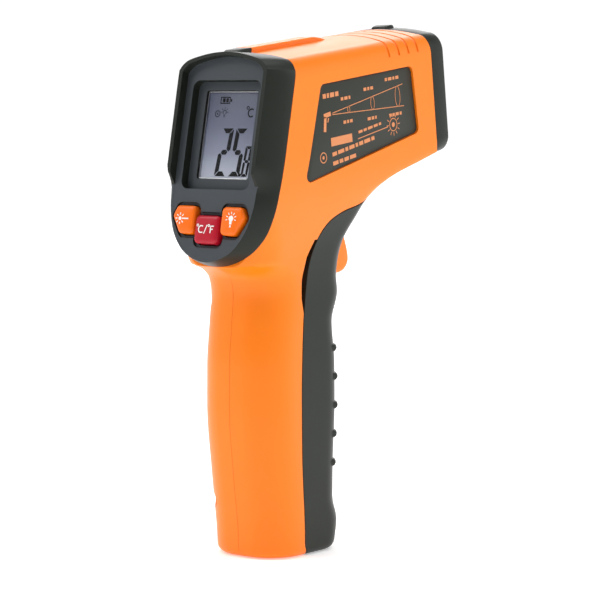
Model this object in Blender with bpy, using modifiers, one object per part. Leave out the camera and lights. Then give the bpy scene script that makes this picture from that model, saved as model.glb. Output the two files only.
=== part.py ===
"""Pistol-shaped infrared thermometer, as the pieces it comes apart into.

Units: the named sizes are millimetres, and every mesh is written in metres (MM).
Frame: +Z up, +Y towards the muzzle, +X to the right-hand side, origin under the middle of the
object's box, on the plane that the grip stands on.
"""

import math

import bmesh
import bpy
from mathutils import Matrix, Vector

MM = 0.001

# ---------------------------------------------------------------- driving sizes, millimetres
GAP = 0.3  # between pieces that touch
RUN = 0.08  # radial play of a pin in its hole
WALL = 1.8  # moulded shell wall

# The barrel: a frame of its own, x across, y along the axis, z up, pitched up at the muzzle.
BARREL_PITCH = 7.2  # degrees
BARREL_ORIGIN = (0.0, -22.5, 124.8)
BARREL_HALF_WIDTH = 20.8
BARREL_CROWN = 25.2  # top of the crowned roof above the axis
ROOF_EDGE = (15.8, 23.5)  # half width and height where the roof meets the corner
ROOF_CORNER_DROP = 6.0  # the rounded corner ends this far under the roof edge
RING_REAR = 62.0  # the muzzle ring, along the barrel axis
RING_FRONT = 69.2
RING_FLOOR = -14.0  # underside of the ring below the axis
RING_CHAMFER = 1.3
RING_WALL = 2.6
APERTURE_RADIUS = 9.6  # wide end of the lens hood
LENS_RADIUS = 6.0
LENS_HEIGHT = 1.5  # lens axis above the barrel axis
HOOD_SLEEVE = 1.6  # wall round the lens hood
LASER_RADIUS = 2.2
LASER_MODULE_RADIUS = 3.0
LASER_HEIGHT = LENS_HEIGHT + APERTURE_RADIUS + HOOD_SLEEVE + 0.9 + LASER_MODULE_RADIUS
RIDGE_HALF_WIDTH = 4.4  # raised sight ridge on the roof
RIDGE_TOP = 26.7
RIDGE_END = 27.0
RIDGE_RUN_OUT = 6.0

# The display face: a frame of its own, x across, y up the face, z out of the LCD window.
FACE_TILT = 11.4  # degrees, leaning away from the user
FACE_ORIGIN = (0.0, -36.6, 125.4)
JUNCTION = -2.0  # plane where the dark housing meets the orange shells
PLATE = 3.1  # face plate above the window plane
RIM = 6.7  # hood rim above the window plane
HOUSING_DEPTH = 8.9  # over which the hood narrows to its rim
CHIN_DEPTH = 5.1  # the same below the hood
HOOD_WALL = 1.3
WINDOW = (19.4, 26.3)
RECESS = (25.6, 32.2)
PANE_TOP = -0.1  # the window's raised pane, just under the frame
BUTTON_PROUD = 1.6  # button tops above the plate
BUTTON_TRAVEL = 0.8
BUTTON_PLAY = 0.35

# The grip.
GRIP_HALF_WIDTH = 15.0
DOOR_PIN = (-14.0, 4.2)  # y and z of the battery door's hinge
DOOR_PIN_RADIUS = 1.0
DOOR_HEEL = 4.6  # radius about the pin that the door's heel turns in
HEEL_RELIEF = 0.5  # more room at the foot, where the open door's sole swings past the shells
KNUCKLE_RADIUS = 2.4
KNUCKLE_HALF_LENGTH = 8.9
LUG_WIDTH = 2.2
RIB_RADIUS = 1.1
RIB_HEIGHTS = (61.3, 52.6, 43.9, 35.2, 26.5)
RIB_HALF_LENGTH = 9.0
TRIGGER_HALF_WIDTH = 4.8
TRIGGER_SLOT = TRIGGER_HALF_WIDTH + 0.9
TRIGGER_PIN = (-2.0, 113.0)
TRIGGER_PIN_RADIUS = 1.25
CELL_RADIUS = 5.2  # AAA cell
CELL_LENGTH = 43.3
CELL_FLOOR = 21.0
CELL_Y = -11.6
CELL_SPACING = 5.6  # half the distance between the two cells
SCREW_RADIUS = 1.3
BOSS_RADIUS = 3.1

# Side outline of the grip and barrel: the rear end, then the front end, of each cross section,
# with the half width and the rear corner's depth and width there.
#            rear y   rear z  front y  front z  half w  depth  width
SECTIONS = (
    (-31.8, 0.0, 0.7, 0.0, 14.4, 11.5, 11.5),
    (-32.3, 8.5, 2.1, 8.5, 14.6, 11.5, 11.5),
    (-33.3, 16.5, -0.2, 16.3, 14.8, 11.8, 11.8),
    (-34.4, 25.0, -0.2, 25.0, 14.9, 12.0, 12.0),
    (-36.2, 45.0, 0.5, 45.0, 15.1, 12.0, 12.0),
    (-36.1, 57.0, 0.3, 57.0, 15.1, 12.0, 12.0),
    (-35.1, 69.0, -0.9, 69.4, 15.0, 12.0, 12.0),
    (-34.3, 78.4, 1.9, 78.4, 14.9, 12.0, 12.0),
    (-35.2, 83.0, 1.1, 84.0, 15.1, 12.0, 12.0),
    (-38.0, 85.6, 1.5, 89.0, 15.5, 12.0, 12.0),
    (-42.6, 87.4, 3.0, 94.0, 16.0, 12.0, 12.0),
    (-43.4, 91.0, 7.6, 100.6, 17.0, 12.0, 12.0),
    (-46.4, 96.6, 12.2, 106.6, 18.4, 12.0, 11.6),
    (-51.0, 104.0, 21.0, 112.2, 19.8, 11.5, 9.0),
    (-50.5, 111.0, 38.0, 117.8, 20.5, 10.0, 6.5),
    (-50.0, 118.0, 56.0, 122.9, 20.8, 10.0, 5.5),
)
FRONT_RADIUS = 8.0
FAR = 60.0  # past the object on every side
BELLY_RADIUS = 5.0
BASE_EDGE = ((0.0, 2.4), (0.7, 1.0), (2.4, 0.0))  # height, inset: the rounded foot
# Where the battery door meets the shells, seen from the side.
DOOR_LINE = (
    (-18.6, 4.2),
    (-18.9, 10.0),
    (-20.4, 28.0),
    (-20.9, 50.0),
    (-20.2, 68.0),
    (-18.9, 80.0),
    (-17.9, 88.0),
    (-15.4, 94.6),
    (-11.2, 99.5),
    (-5.0, 102.4),
    (2.5, 104.2),
    (7.5, 105.9),
    (12.0, 107.3),
)
# Right half of the housing outline on the junction plane, and of its front edge.
JUNCTION_OUTLINE = (
    (0.0, 24.8), (5.3, 24.6), (10.6, 24.1), (15.8, 23.1), (18.2, 22.1), (20.0, 20.2),
    (20.8, 17.4), (20.8, 5.0), (20.8, -6.0), (20.5, -14.0), (19.8, -21.5), (18.0, -27.8),
    (15.6, -31.6), (12.4, -34.6), (8.3, -36.9), (4.2, -38.2), (0.0, -38.6),
)
FRONT_OUTLINE = (
    (0.0, 23.2), (4.3, 22.9), (8.4, 22.1), (12.6, 20.9), (14.6, 19.6), (15.7, 18.2),
    (16.0, 16.6), (16.0, 5.0), (16.0, -6.0), (16.0, -14.0), (15.7, -21.5), (14.1, -27.8),
    (11.9, -31.8), (9.4, -34.6), (6.4, -36.5), (3.2, -37.6), (0.0, -38.0),
)
BUTTONS = {
    "button_laser": ((-5.0, -21.7), (-12.0, -21.7), (-13.5, -24.8), (-10.3, -30.0), (-5.0, -30.0)),
    "button_unit": ((-4.4, -24.4), (-4.4, -32.7), (4.4, -32.7), (4.4, -24.4)),
    "button_backlight": ((5.0, -21.7), (5.0, -30.0), (10.3, -30.0), (13.5, -24.8), (12.0, -21.7)),
}
BUTTON_CORNER = 1.4

# ---------------------------------------------------------------- scene, materials and frames
for old in list(bpy.data.objects):
    bpy.data.objects.remove(old, do_unlink=True)
PARTS = bpy.data.collections.new("infrared_thermometer")
bpy.context.scene.collection.children.link(PARTS)


def material(name, colour, roughness, metallic=0.0, alpha=1.0):
    made = bpy.data.materials.new(name)
    made.use_nodes = True
    shader = made.node_tree.nodes["Principled BSDF"]
    shader.inputs["Base Color"].default_value = (*colour, 1.0)
    shader.inputs["Roughness"].default_value = roughness
    shader.inputs["Metallic"].default_value = metallic
    shader.inputs["Alpha"].default_value = alpha
    made.diffuse_color = (*colour, alpha)
    return made


ORANGE = material("orange_abs", (1.0, 0.235, 0.020), 0.38)
DARK = material("dark_abs", (0.062, 0.070, 0.062), 0.42)
FACE_GREY = material("face_grey", (0.115, 0.128, 0.135), 0.45)
RED = material("red_abs", (0.48, 0.014, 0.045), 0.35)
CLEAR = material("clear_acrylic", (0.80, 0.85, 0.90), 0.05, 0.0, 0.35)
GLASS = material("lcd_glass", (0.30, 0.33, 0.40), 0.15)
BOARD = material("circuit_board", (0.02, 0.16, 0.06), 0.45)
BLACK = material("black_plastic", (0.02, 0.02, 0.022), 0.5)
STEEL = material("steel", (0.60, 0.60, 0.62), 0.3, 1.0)
BRASS = material("brass", (0.78, 0.57, 0.24), 0.3, 1.0)
RUBBER = material("rubber", (0.05, 0.05, 0.05), 0.8)
WHITE = material("white_plastic", (0.80, 0.80, 0.78), 0.4)
JACKET = material("cell_jacket", (0.10, 0.16, 0.32), 0.35)


def frame(origin, tilt):
    """A local frame in metres: its x is X, turned by tilt degrees about X."""
    return Matrix.Translation(Vector(origin) * MM) @ Matrix.Rotation(math.radians(tilt), 4, "X")


WORLD = Matrix.Identity(4)
BARREL = frame(BARREL_ORIGIN, BARREL_PITCH)
# The face frame's z points back at the user: up the face, then out of it.
FACE = frame(FACE_ORIGIN, 90.0 - FACE_TILT)
# A frame whose z is X, whose x is Y and whose y is Z: for outlines drawn in side view.
SIDE = Matrix(((0, 0, 1, 0), (1, 0, 0, 0), (0, 1, 0, 0), (0, 0, 0, 1)))


# ---------------------------------------------------------------- making and cutting solids
def add(name, bm, finish, place=WORLD):
    """One object from a bmesh whose points are millimetres in the frame called place."""
    bmesh.ops.transform(bm, matrix=place @ Matrix.Diagonal((MM, MM, MM, 1.0)), verts=bm.verts)
    bmesh.ops.recalc_face_normals(bm, faces=bm.faces)
    mesh = bpy.data.meshes.new(name)
    bm.to_mesh(mesh)
    bm.free()
    mesh.materials.append(finish)
    made = bpy.data.objects.new(name, mesh)
    PARTS.objects.link(made)
    return made


def loft(name, rings, finish, place=WORLD):
    """A solid through rings of equal length, closed by a cap at each end."""
    bm = bmesh.new()
    rows = [[bm.verts.new(point) for point in ring] for ring in rings]
    count = len(rows[0])
    for low, high in zip(rows, rows[1:]):
        for i in range(count):
            j = (i + 1) % count
            bm.faces.new((low[i], low[j], high[j], high[i]))
    bm.faces.new(rows[0])
    bm.faces.new(rows[-1])
    return add(name, bm, finish, place)


def prism(name, outline, low, high, finish, place=WORLD):
    """A flat outline, swept from z = low to z = high."""
    rings = [[(x, y, z) for x, y in outline] for z in (low, high)]
    return loft(name, rings, finish, place)


def box(name, low, high, finish, place=WORLD):
    bm = bmesh.new()
    size = [b - a for a, b in zip(low, high)]
    middle = [(a + b) / 2 for a, b in zip(low, high)]
    bmesh.ops.create_cube(bm, matrix=Matrix.Translation(middle) @ Matrix.Diagonal((*size, 1.0)))
    return add(name, bm, finish, place)


def turned(name, profile, finish, place=WORLD, sides=32):
    """A solid of rings (radius, height) about the frame's z axis."""
    rings = []
    for radius, height in profile:
        rings.append([
            (radius * math.cos(2 * math.pi * i / sides), radius * math.sin(2 * math.pi * i / sides), height)
            for i in range(sides)
        ])
    return loft(name, rings, finish, place)


def tube(name, bore, radius, low, high, finish, place=WORLD, sides=32):
    made = turned(name, ((radius, low), (radius, high)), finish, place, sides)
    return cut(made, turned("bore", ((bore, low - 1), (bore, high + 1)), finish, place, sides))


def along(axis, x, y, z):
    """A frame in metres at (x, y, z) millimetres of the world whose z runs along X, Y or Z."""
    turn = {"X": Matrix.Rotation(math.radians(90), 4, "Y"), "Y": Matrix.Rotation(math.radians(-90), 4, "X")}
    return Matrix.Translation(Vector((x, y, z)) * MM) @ turn.get(axis, WORLD)


def inside(place, x, y, z, axis="Z"):
    """The same, at a point of another frame."""
    return place @ along(axis, x, y, z)


def combine(target, others, operation):
    """Applies a Boolean of target with each of the others, which are used up."""
    for other in others:
        modifier = target.modifiers.new(operation, "BOOLEAN")
        modifier.operation = operation
        modifier.object = other
        bpy.context.view_layer.update()
        shaped = bpy.data.meshes.new_from_object(target.evaluated_get(bpy.context.evaluated_depsgraph_get()))
        target.modifiers.clear()
        old = target.data
        target.data = shaped
        shaped.name = target.name
        bpy.data.meshes.remove(old)
        bpy.data.objects.remove(other, do_unlink=True)
    clean(target)
    return target


def clean(target):
    """Merges the slivers that a Boolean leaves, keeping one finish."""
    bm = bmesh.new()
    bm.from_mesh(target.data)
    bmesh.ops.remove_doubles(bm, verts=bm.verts, dist=1e-6)
    bmesh.ops.dissolve_degenerate(bm, edges=bm.edges, dist=1e-6)
    for face in bm.faces:
        face.material_index = 0
    bm.to_mesh(target.data)
    bm.free()


def cut(target, *cutters):
    return combine(target, cutters, "DIFFERENCE")


def join(target, *others):
    return combine(target, others, "UNION")


def common(target, *others):
    return combine(target, others, "INTERSECT")


def duplicate(source, name, finish=None):
    made = bpy.data.objects.new(name, source.data.copy())
    PARTS.objects.link(made)
    if finish:
        made.data.materials[0] = finish
    return made


def drop(*objects):
    for each in objects:
        bpy.data.objects.remove(each, do_unlink=True)


# ---------------------------------------------------------------- outlines
def through(points, at):
    """Values on a smooth curve through points (key, value, value...), read at a key."""
    keys = [p[0] for p in points]
    at = min(max(at, keys[0]), keys[-1])
    i = min(max(k for k in range(len(keys)) if keys[k] <= at), len(keys) - 2)
    span = keys[i + 1] - keys[i]
    t = (at - keys[i]) / span

    def slope(k, c):
        before = after = None
        if k > 0:
            before = (points[k][c] - points[k - 1][c]) / (keys[k] - keys[k - 1])
        if k < len(keys) - 1:
            after = (points[k + 1][c] - points[k][c]) / (keys[k + 1] - keys[k])
        if before is None or after is None:
            return after if before is None else before
        return 0.0 if before * after <= 0 else 2 * before * after / (before + after)

    values = []
    for c in range(1, len(points[0])):
        a, b = points[i][c], points[i + 1][c]
        ma, mb = slope(i, c) * span, slope(i + 1, c) * span
        values.append(
            (2 * t**3 - 3 * t**2 + 1) * a + (t**3 - 2 * t**2 + t) * ma
            + (3 * t**2 - 2 * t**3) * b + (t**3 - t**2) * mb
        )
    return values


def rounded(outline, radius, steps=4):
    """The outline with each corner replaced by an arc."""
    result = []
    count = len(outline)
    for i in range(count):
        here = Vector(outline[i])
        back = (Vector(outline[i - 1]) - here).normalized()
        ahead = (Vector(outline[(i + 1) % count]) - here).normalized()
        half = back.angle(ahead) / 2
        reach = radius / math.tan(half)
        centre = here + (back + ahead).normalized() * (radius / math.sin(half))
        start, end = here + back * reach - centre, here + ahead * reach - centre
        for k in range(steps + 1):
            arm = start.normalized().slerp(end.normalized(), k / steps)
            result.append(tuple(centre + arm * radius))
    return result


def rectangle(width, height, centre=(0.0, 0.0)):
    x, y = centre
    return ((x - width / 2, y - height / 2), (x + width / 2, y - height / 2),
            (x + width / 2, y + height / 2), (x - width / 2, y + height / 2))


def grown(outline, by):
    """A convex outline moved outwards by a distance."""
    count = len(outline)
    middle = sum((Vector(p) for p in outline), Vector((0, 0))) / count
    result = []
    for i in range(count):
        here = Vector(outline[i])
        back = (here - Vector(outline[i - 1])).normalized()
        ahead = (Vector(outline[(i + 1) % count]) - here).normalized()
        normals = []
        for edge in (back, ahead):
            side = Vector((edge.y, -edge.x))
            normals.append(side if side.dot(here - middle) > 0 else -side)
        bisector = (normals[0] + normals[1]).normalized()
        result.append(tuple(here + bisector * (by / max(0.3, bisector.dot(normals[0])))))
    return result


# ---------------------------------------------------------------- the outer form of grip and barrel
CORNER_STEPS = 5
SIDE_STEPS = 3
FRONT_STEPS = 4


def section(rear, front, half_width, depth, width, radius, inset=0.0):
    """One closed cross section, from its rear point to its front point, both (y, z)."""
    start, end = Vector(rear), Vector(front)
    length = (end - start).length - 2 * inset
    direction = (end - start).normalized()
    start = start + direction * inset
    half_width -= inset
    depth, width = depth - inset * 0.6, min(width - inset * 0.6, half_width * 0.8)
    radius = min(max(radius - inset, 1.0), half_width * 0.8)
    half = [(0.0, 0.0)]
    for i in range(CORNER_STEPS + 1):
        turn = math.pi / 2 * i / CORNER_STEPS
        half.append((half_width - width + width * math.sin(turn), depth - depth * math.cos(turn)))
    for i in range(1, SIDE_STEPS):
        half.append((half_width, depth + (length - radius - depth) * i / SIDE_STEPS))
    for i in range(FRONT_STEPS + 1):
        turn = math.pi / 2 * i / FRONT_STEPS
        half.append((half_width - radius + radius * math.cos(turn), length - radius + radius * math.sin(turn)))
    half.append((0.0, length))
    ring = []
    for x, t in half + [(-x, t) for x, t in half[-2:0:-1]]:
        point = start + direction * t
        ring.append((x, point.x, point.y))
    return ring


def on_barrel(s, h):
    """World y and z of a point s along the barrel axis and h above it."""
    point = BARREL @ (Vector((0, s, h)) * MM) / MM
    return point.y, point.z


def on_face(v, w):
    """World y and z of a point v up the face and w out of it."""
    point = FACE @ (Vector((0, v, w)) * MM) / MM
    return point.y, point.z


def roof_half_width(height):
    """Half width of the barrel at a height above its axis, over the rounded roof corner."""
    low = ROOF_EDGE[1] - ROOF_CORNER_DROP
    if height <= low:
        return BARREL_HALF_WIDTH
    reach = BARREL_HALF_WIDTH - ROOF_EDGE[0]
    rise = min(1.0, (height - low) / ROOF_CORNER_DROP)
    return ROOF_EDGE[0] + reach * (1 - rise**2) ** 0.5 if rise < 1 else ROOF_EDGE[0]


def outer_form(name, finish, inset=0.0):
    """The whole outside of grip and barrel, or the same moved in by inset."""
    table = [(row[1], row[0], row[2], row[3], row[4], row[5], row[6]) for row in SECTIONS]
    rings = []
    levels = [inset + h for h, _ in BASE_EDGE] + [5, 8.5, 12, 16.5, 25, 36, 46, 57, 66, 72, 75]
    levels += [78.4, 81, 83.5, 86, 88.5, 91, 94, 97, 100.5, 104.5, 109, 113.5, 118]
    for number, level in enumerate(levels):
        rear_y, front_y, front_z, half_width, depth, width = through(table, level)
        foot = BASE_EDGE[number][1] if number < len(BASE_EDGE) else 0.0
        radius = through(((0, FRONT_RADIUS), (100, FRONT_RADIUS), (112, BELLY_RADIUS), (118, BELLY_RADIUS)), level)[0]
        ring = section((rear_y, level), (front_y, front_z if number >= len(BASE_EDGE) else level),
                       half_width, depth, width, radius, inset + foot)
        rings.append(ring)
    roof = ROOF_EDGE[1] - inset
    low = roof - ROOF_CORNER_DROP
    heights = [0.0, 9.0, low] + [low + ROOF_CORNER_DROP * math.sin(math.pi / 2 * k / 4) for k in (1, 2, 3, 4)]
    for height in heights:
        half_width = roof_half_width(height + inset) - inset
        rings.append(section(on_barrel(-30.0, height), on_barrel(76.0, height), half_width + inset, 8, 3, 3, inset))
    for share in (0.66, 0.33, 0.02):
        height = BARREL_CROWN - inset - (BARREL_CROWN - ROOF_EDGE[1]) * share**2
        half_width = (ROOF_EDGE[0] - inset) * share
        rings.append(section(on_barrel(-30.0, height), on_barrel(76.0, height), half_width + inset,
                             1 + inset * 0.6, half_width * 0.5 + inset * 0.6, half_width * 0.5 + inset, inset))
    return loft(name, rings, finish)


def whole(half):
    """A full outline from its right half, which runs from the top centre to the bottom centre."""
    return list(half) + [(-x, y) for x, y in half[-2:0:-1]]


def side_prism(name, outline, half_width, finish, place=WORLD, low=None):
    """An outline drawn in side view as (y, z), swept across x."""
    return prism(name, outline, -half_width if low is None else low, half_width, finish, place @ SIDE)


def door_region(shift):
    """The space in front of the door line, moved forwards by shift."""
    heel = []
    y, z = DOOR_PIN
    for i in range(7):
        turn = math.radians(245 - 65 * i / 6)
        radius = DOOR_HEEL - shift if shift else DOOR_HEEL + HEEL_RELIEF * max(0.0, 1 - i / 3)
        heel.append((y + radius * math.cos(turn), z + radius * math.sin(turn)))
    line = []
    for k, (ly, lz) in enumerate(DOOR_LINE[1:]):
        before, after = Vector(DOOR_LINE[k]), Vector(DOOR_LINE[min(k + 2, len(DOOR_LINE) - 1)])
        run = (after - before).normalized()
        line.append((ly + run.y * shift, lz - run.x * shift))
    outline = [(heel[0][0], -5.0)] + heel + line + [(FAR, 103.0), (FAR, -5.0)]
    return side_prism("door_region", outline, FAR, DARK)


# ---------------------------------------------------------------- shells and covers
def barrel_outline(crown, half_width, inset=0.0, floor=RING_FLOOR, floor_radius=5.0):
    """Cross section of the barrel at the muzzle, as (x, height)."""
    half = [(0.0, crown - inset)]
    edge_x, edge_h = ROOF_EDGE
    for share in (0.33, 0.66, 1.0):
        half.append(((edge_x - inset * 0.6) * share, crown - inset - (crown - edge_h) * share**2))
    low = edge_h - ROOF_CORNER_DROP
    for k in (1, 2, 3, 4):
        turn = math.pi / 2 * k / 4
        half.append((edge_x - inset * 0.6 + (half_width - edge_x - inset * 0.4) * math.sin(turn),
                     low + (ROOF_CORNER_DROP - inset) * math.cos(turn)))
    for k in range(5):
        turn = math.pi / 2 * k / 4
        half.append((half_width - inset - floor_radius + floor_radius * math.cos(turn),
                     floor + inset + floor_radius - floor_radius * math.sin(turn)))
    half.append((0.0, floor + inset))
    return whole(half)


def barrel_ring(outline, s):
    return [(x, s, h) for x, h in outline]


def make_muzzle_ring():
    rings = []
    for s, inset in ((RING_REAR, 0.0), (RING_FRONT - RING_CHAMFER, 0.0), (RING_FRONT, RING_CHAMFER)):
        rings.append(barrel_ring(barrel_outline(BARREL_CROWN, BARREL_HALF_WIDTH, inset), s))
    ring = loft("muzzle_ring", rings, DARK, BARREL)
    opening = [barrel_ring(barrel_outline(BARREL_CROWN, BARREL_HALF_WIDTH, RING_WALL, floor_radius=3.5), s)
               for s in (RING_REAR - 1, RING_FRONT + 1)]
    ring = cut(ring, loft("opening", opening, DARK, BARREL))
    sight = [(RING_REAR + 0.6, BARREL_CROWN - 0.8), (RING_REAR + 0.9, BARREL_CROWN + 0.5),
             (RING_REAR + 2.4, BARREL_CROWN + 0.9), (RING_REAR + 4.6, BARREL_CROWN + 1.0),
             (RING_REAR + 5.6, BARREL_CROWN + 0.2), (RING_REAR + 5.6, BARREL_CROWN - 0.8)]
    return join(ring, side_prism("sight", sight, RIDGE_HALF_WIDTH, DARK, BARREL))


def make_front_face():
    """The plate inside the ring: a flared hood down to the lens, and the laser's hole."""
    outline = barrel_outline(BARREL_CROWN, BARREL_HALF_WIDTH, RING_WALL + GAP, floor_radius=3.2)
    plate = loft("front_face", [barrel_ring(outline, s) for s in (RING_REAR + 1.2, RING_REAR + 4.2)], DARK, BARREL)
    lens = inside(BARREL, 0, RING_REAR, LENS_HEIGHT, "Y")
    outer = APERTURE_RADIUS + HOOD_SLEEVE
    sleeve = turned("sleeve", ((outer, -6.0), (outer, 2.0)), DARK, lens, 48)
    limit = loft("limit", [barrel_ring(outline, s) for s in (RING_REAR - 7.0, RING_REAR + 3.0)], DARK, BARREL)
    plate = join(plate, common(sleeve, limit))
    flare = turned("flare", ((LENS_RADIUS - 0.6, -7.0), (LENS_RADIUS - 0.6, -4.6), (APERTURE_RADIUS, 4.3),
                             (APERTURE_RADIUS + 0.1, 6.0)), DARK, lens, 48)
    seat = turned("seat", ((LENS_RADIUS + GAP, -7.0), (LENS_RADIUS + GAP, -4.9)), DARK, lens, 48)
    laser = turned("hole", ((LASER_RADIUS, -2.0), (LASER_RADIUS, 6.0)), DARK,
                   inside(BARREL, 0, RING_REAR, LASER_HEIGHT, "Y"), 24)
    return cut(plate, flare, seat, laser)


def housing_depth(v):
    """How far the housing's flank runs from the junction plane to its front edge."""
    share = min(1.0, max(0.0, (-10.0 - v) / 7.0))
    share = share * share * (3 - 2 * share)
    return HOUSING_DEPTH + (CHIN_DEPTH - HOUSING_DEPTH) * share


def make_display_housing():
    rings = []
    for w in (JUNCTION, JUNCTION + 0.8, JUNCTION + 2.4, 1.8, PLATE, 4.8, RIM + 0.4):
        half = []
        for (u0, v0), (u1, v1) in zip(JUNCTION_OUTLINE, FRONT_OUTLINE):
            share = min(1.2, ((w - JUNCTION) / housing_depth(v0)) ** 1.25)
            half.append((u0 + (u1 - u0) * share, v0 + (v1 - v0) * share))
        rings.append([(u, v, w) for u, v in whole(half)])
    housing = loft("display_housing", rings, DARK, FACE)
    ridge = [(0.0, BARREL_CROWN - 2), (-13.0, BARREL_CROWN - 2), (-13.0, BARREL_CROWN - 0.8),
             (-8.5, RIDGE_TOP - 0.1), (0.0, RIDGE_TOP)]
    ridge = side_prism("ridge", ridge, RIDGE_HALF_WIDTH, DARK, BARREL)
    ridge = cut(ridge, box("front", (-FAR, -FAR, -FAR), (FAR, FAR, JUNCTION), DARK, FACE))
    housing = join(housing, ridge)
    # The plate is a hair lower inside the hood's outline than at its edge, so no two cuts share a plane.
    edge = PLATE + 0.03
    rim_line = [(-FAR, edge), (-15.5, edge), (-11.8, RIM), (FAR, RIM), (FAR, RIM + 9), (-FAR, RIM + 9)]
    above = side_prism("above", rim_line, FAR, DARK, FACE)
    hood = prism("hood", grown(whole(FRONT_OUTLINE), -HOOD_WALL), PLATE, RIM + 2, DARK, FACE)
    recess = prism("recess", rounded(rectangle(*RECESS, (0, -0.5)), 2.4), 0.3, RIM, DARK, FACE)
    window = prism("window", rounded(rectangle(*WINDOW), 0.8), -FAR, RIM, DARK, FACE)
    back = [grown(whole(JUNCTION_OUTLINE), -WALL - 0.6), grown(whole(JUNCTION_OUTLINE), -WALL - 2.2)]
    hollow = prism("hollow", back[0], JUNCTION - 1, JUNCTION + 0.9, DARK, FACE)
    bay = prism("bay", back[1], JUNCTION - 1, PLATE - WALL, DARK, FACE)
    bay = cut(bay, box("upper", (-FAR, -18.6, -FAR), (FAR, FAR, FAR), DARK, FACE))
    housing = cut(housing, above, hood, recess, window, hollow, bay)
    for name, outline in BUTTONS.items():
        hole = rounded(grown(outline, BUTTON_PLAY), BUTTON_CORNER + BUTTON_PLAY, 3)
        pocket = rounded(grown(outline, 1.1), BUTTON_CORNER + 0.8, 3)
        housing = cut(housing, prism("hole", hole, -FAR, FAR, DARK, FACE),
                      prism("pocket", pocket, PLATE - 0.9, FAR, DARK, FACE))
    return housing


def shell_volume(name):
    """Both orange shells as one hollow solid."""
    shell = outer_form(name, ORANGE)
    ridge = [(-20.0, BARREL_CROWN - 2), (-20.0, RIDGE_TOP), (RIDGE_END - 1, RIDGE_TOP),
             (RIDGE_END, RIDGE_TOP - 0.2), (RIDGE_END + RIDGE_RUN_OUT, BARREL_CROWN - 0.4),
             (RIDGE_END + RIDGE_RUN_OUT, BARREL_CROWN - 2)]
    shell = join(shell, side_prism("ridge", ridge, RIDGE_HALF_WIDTH, ORANGE, BARREL))
    shell = cut(shell, outer_form("hollow", ORANGE, WALL))
    rear = box("rear", (-FAR, -2 * FAR, JUNCTION - GAP), (FAR, 2 * FAR, FAR), ORANGE, FACE)
    front = box("front", (-FAR, RING_REAR - GAP, -FAR), (FAR, 2 * FAR, FAR), ORANGE, BARREL)
    notch = [(-16.6, 94.5), (-19.4, 89.5), (-20.9, 82.5), (-20.7, 77.0), (-19.6, 72.0), (-12, 72), (-12, 94.5)]
    return cut(shell, rear, front, door_region(0.0), side_prism("notch", notch, FAR, ORANGE))


def label_outline(inset):
    outline = ((5.9, 14.4), (50.4, 14.4), (52.5, -5.6), (-4.2, -12.4))
    return rounded(grown(outline, -inset), max(0.6, 2.0 - inset * 0.5), 3)


SCREWS = (on_barrel(51.2, -10.4), on_barrel(4.6, 18.5), (-29.0, 16.0), (-29.0, 76.0))


def half_shell(name, side, volume):
    shell = duplicate(volume, name)
    for y, z in SCREWS:
        boss = turned("boss", ((BOSS_RADIUS, 0.1), (BOSS_RADIUS, BARREL_HALF_WIDTH - 1.0)), ORANGE,
                      along("X", 0, y, z) if side > 0 else along("X", 0, y, z) @ Matrix.Rotation(math.pi, 4, "X"), 20)
        shell = join(shell, common(boss, outer_form("core", ORANGE, WALL * 0.5)))
    lug_low, lug_high = KNUCKLE_HALF_LENGTH + 0.5, KNUCKLE_HALF_LENGTH + 0.5 + LUG_WIDTH
    y, z = DOOR_PIN
    for low, high in (((lug_low, -25.0, 1.1), (GRIP_HALF_WIDTH - 1.9, -20.0, z + 4.6)),
                      ((lug_low, -22.0, z - 1.2), (lug_high, y + 1.9, z + 4.6))):
        near = (side * low[0], *low[1:])
        far = (side * high[0], *high[1:])
        shell = join(shell, box("lug", [min(a, b) for a, b in zip(near, far)],
                                [max(a, b) for a, b in zip(near, far)], ORANGE))
    cutters = [box("halve", (-FAR, -2 * FAR, -FAR), (GAP / 2, 2 * FAR, 4 * FAR), ORANGE) if side > 0 else
               box("halve", (-GAP / 2, -2 * FAR, -FAR), (FAR, 2 * FAR, 4 * FAR), ORANGE)]
    recess_floor = BARREL_HALF_WIDTH - 1.1
    low, high = (recess_floor, FAR) if side > 0 else (-FAR, -recess_floor)
    cutters.append(prism("label", label_outline(0), low, high, ORANGE, BARREL @ SIDE))
    bore = DOOR_PIN_RADIUS + RUN
    cutters.append(turned("bore", ((bore, -FAR), (bore, FAR)), ORANGE, along("X", 0, *DOOR_PIN), 24))
    for sy, sz in SCREWS:
        radius = SCREW_RADIUS + RUN
        cutters.append(turned("bore", ((radius, -FAR), (radius, 9.5)), ORANGE, along("X", 0, sy, sz), 16))
        if side < 0:
            head = turned("head", ((2.6, -FAR), (2.6, -6.0)), ORANGE, along("X", 0, sy, sz), 20)
            cutters.append(head)
    return cut(shell, *cutters)


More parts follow.
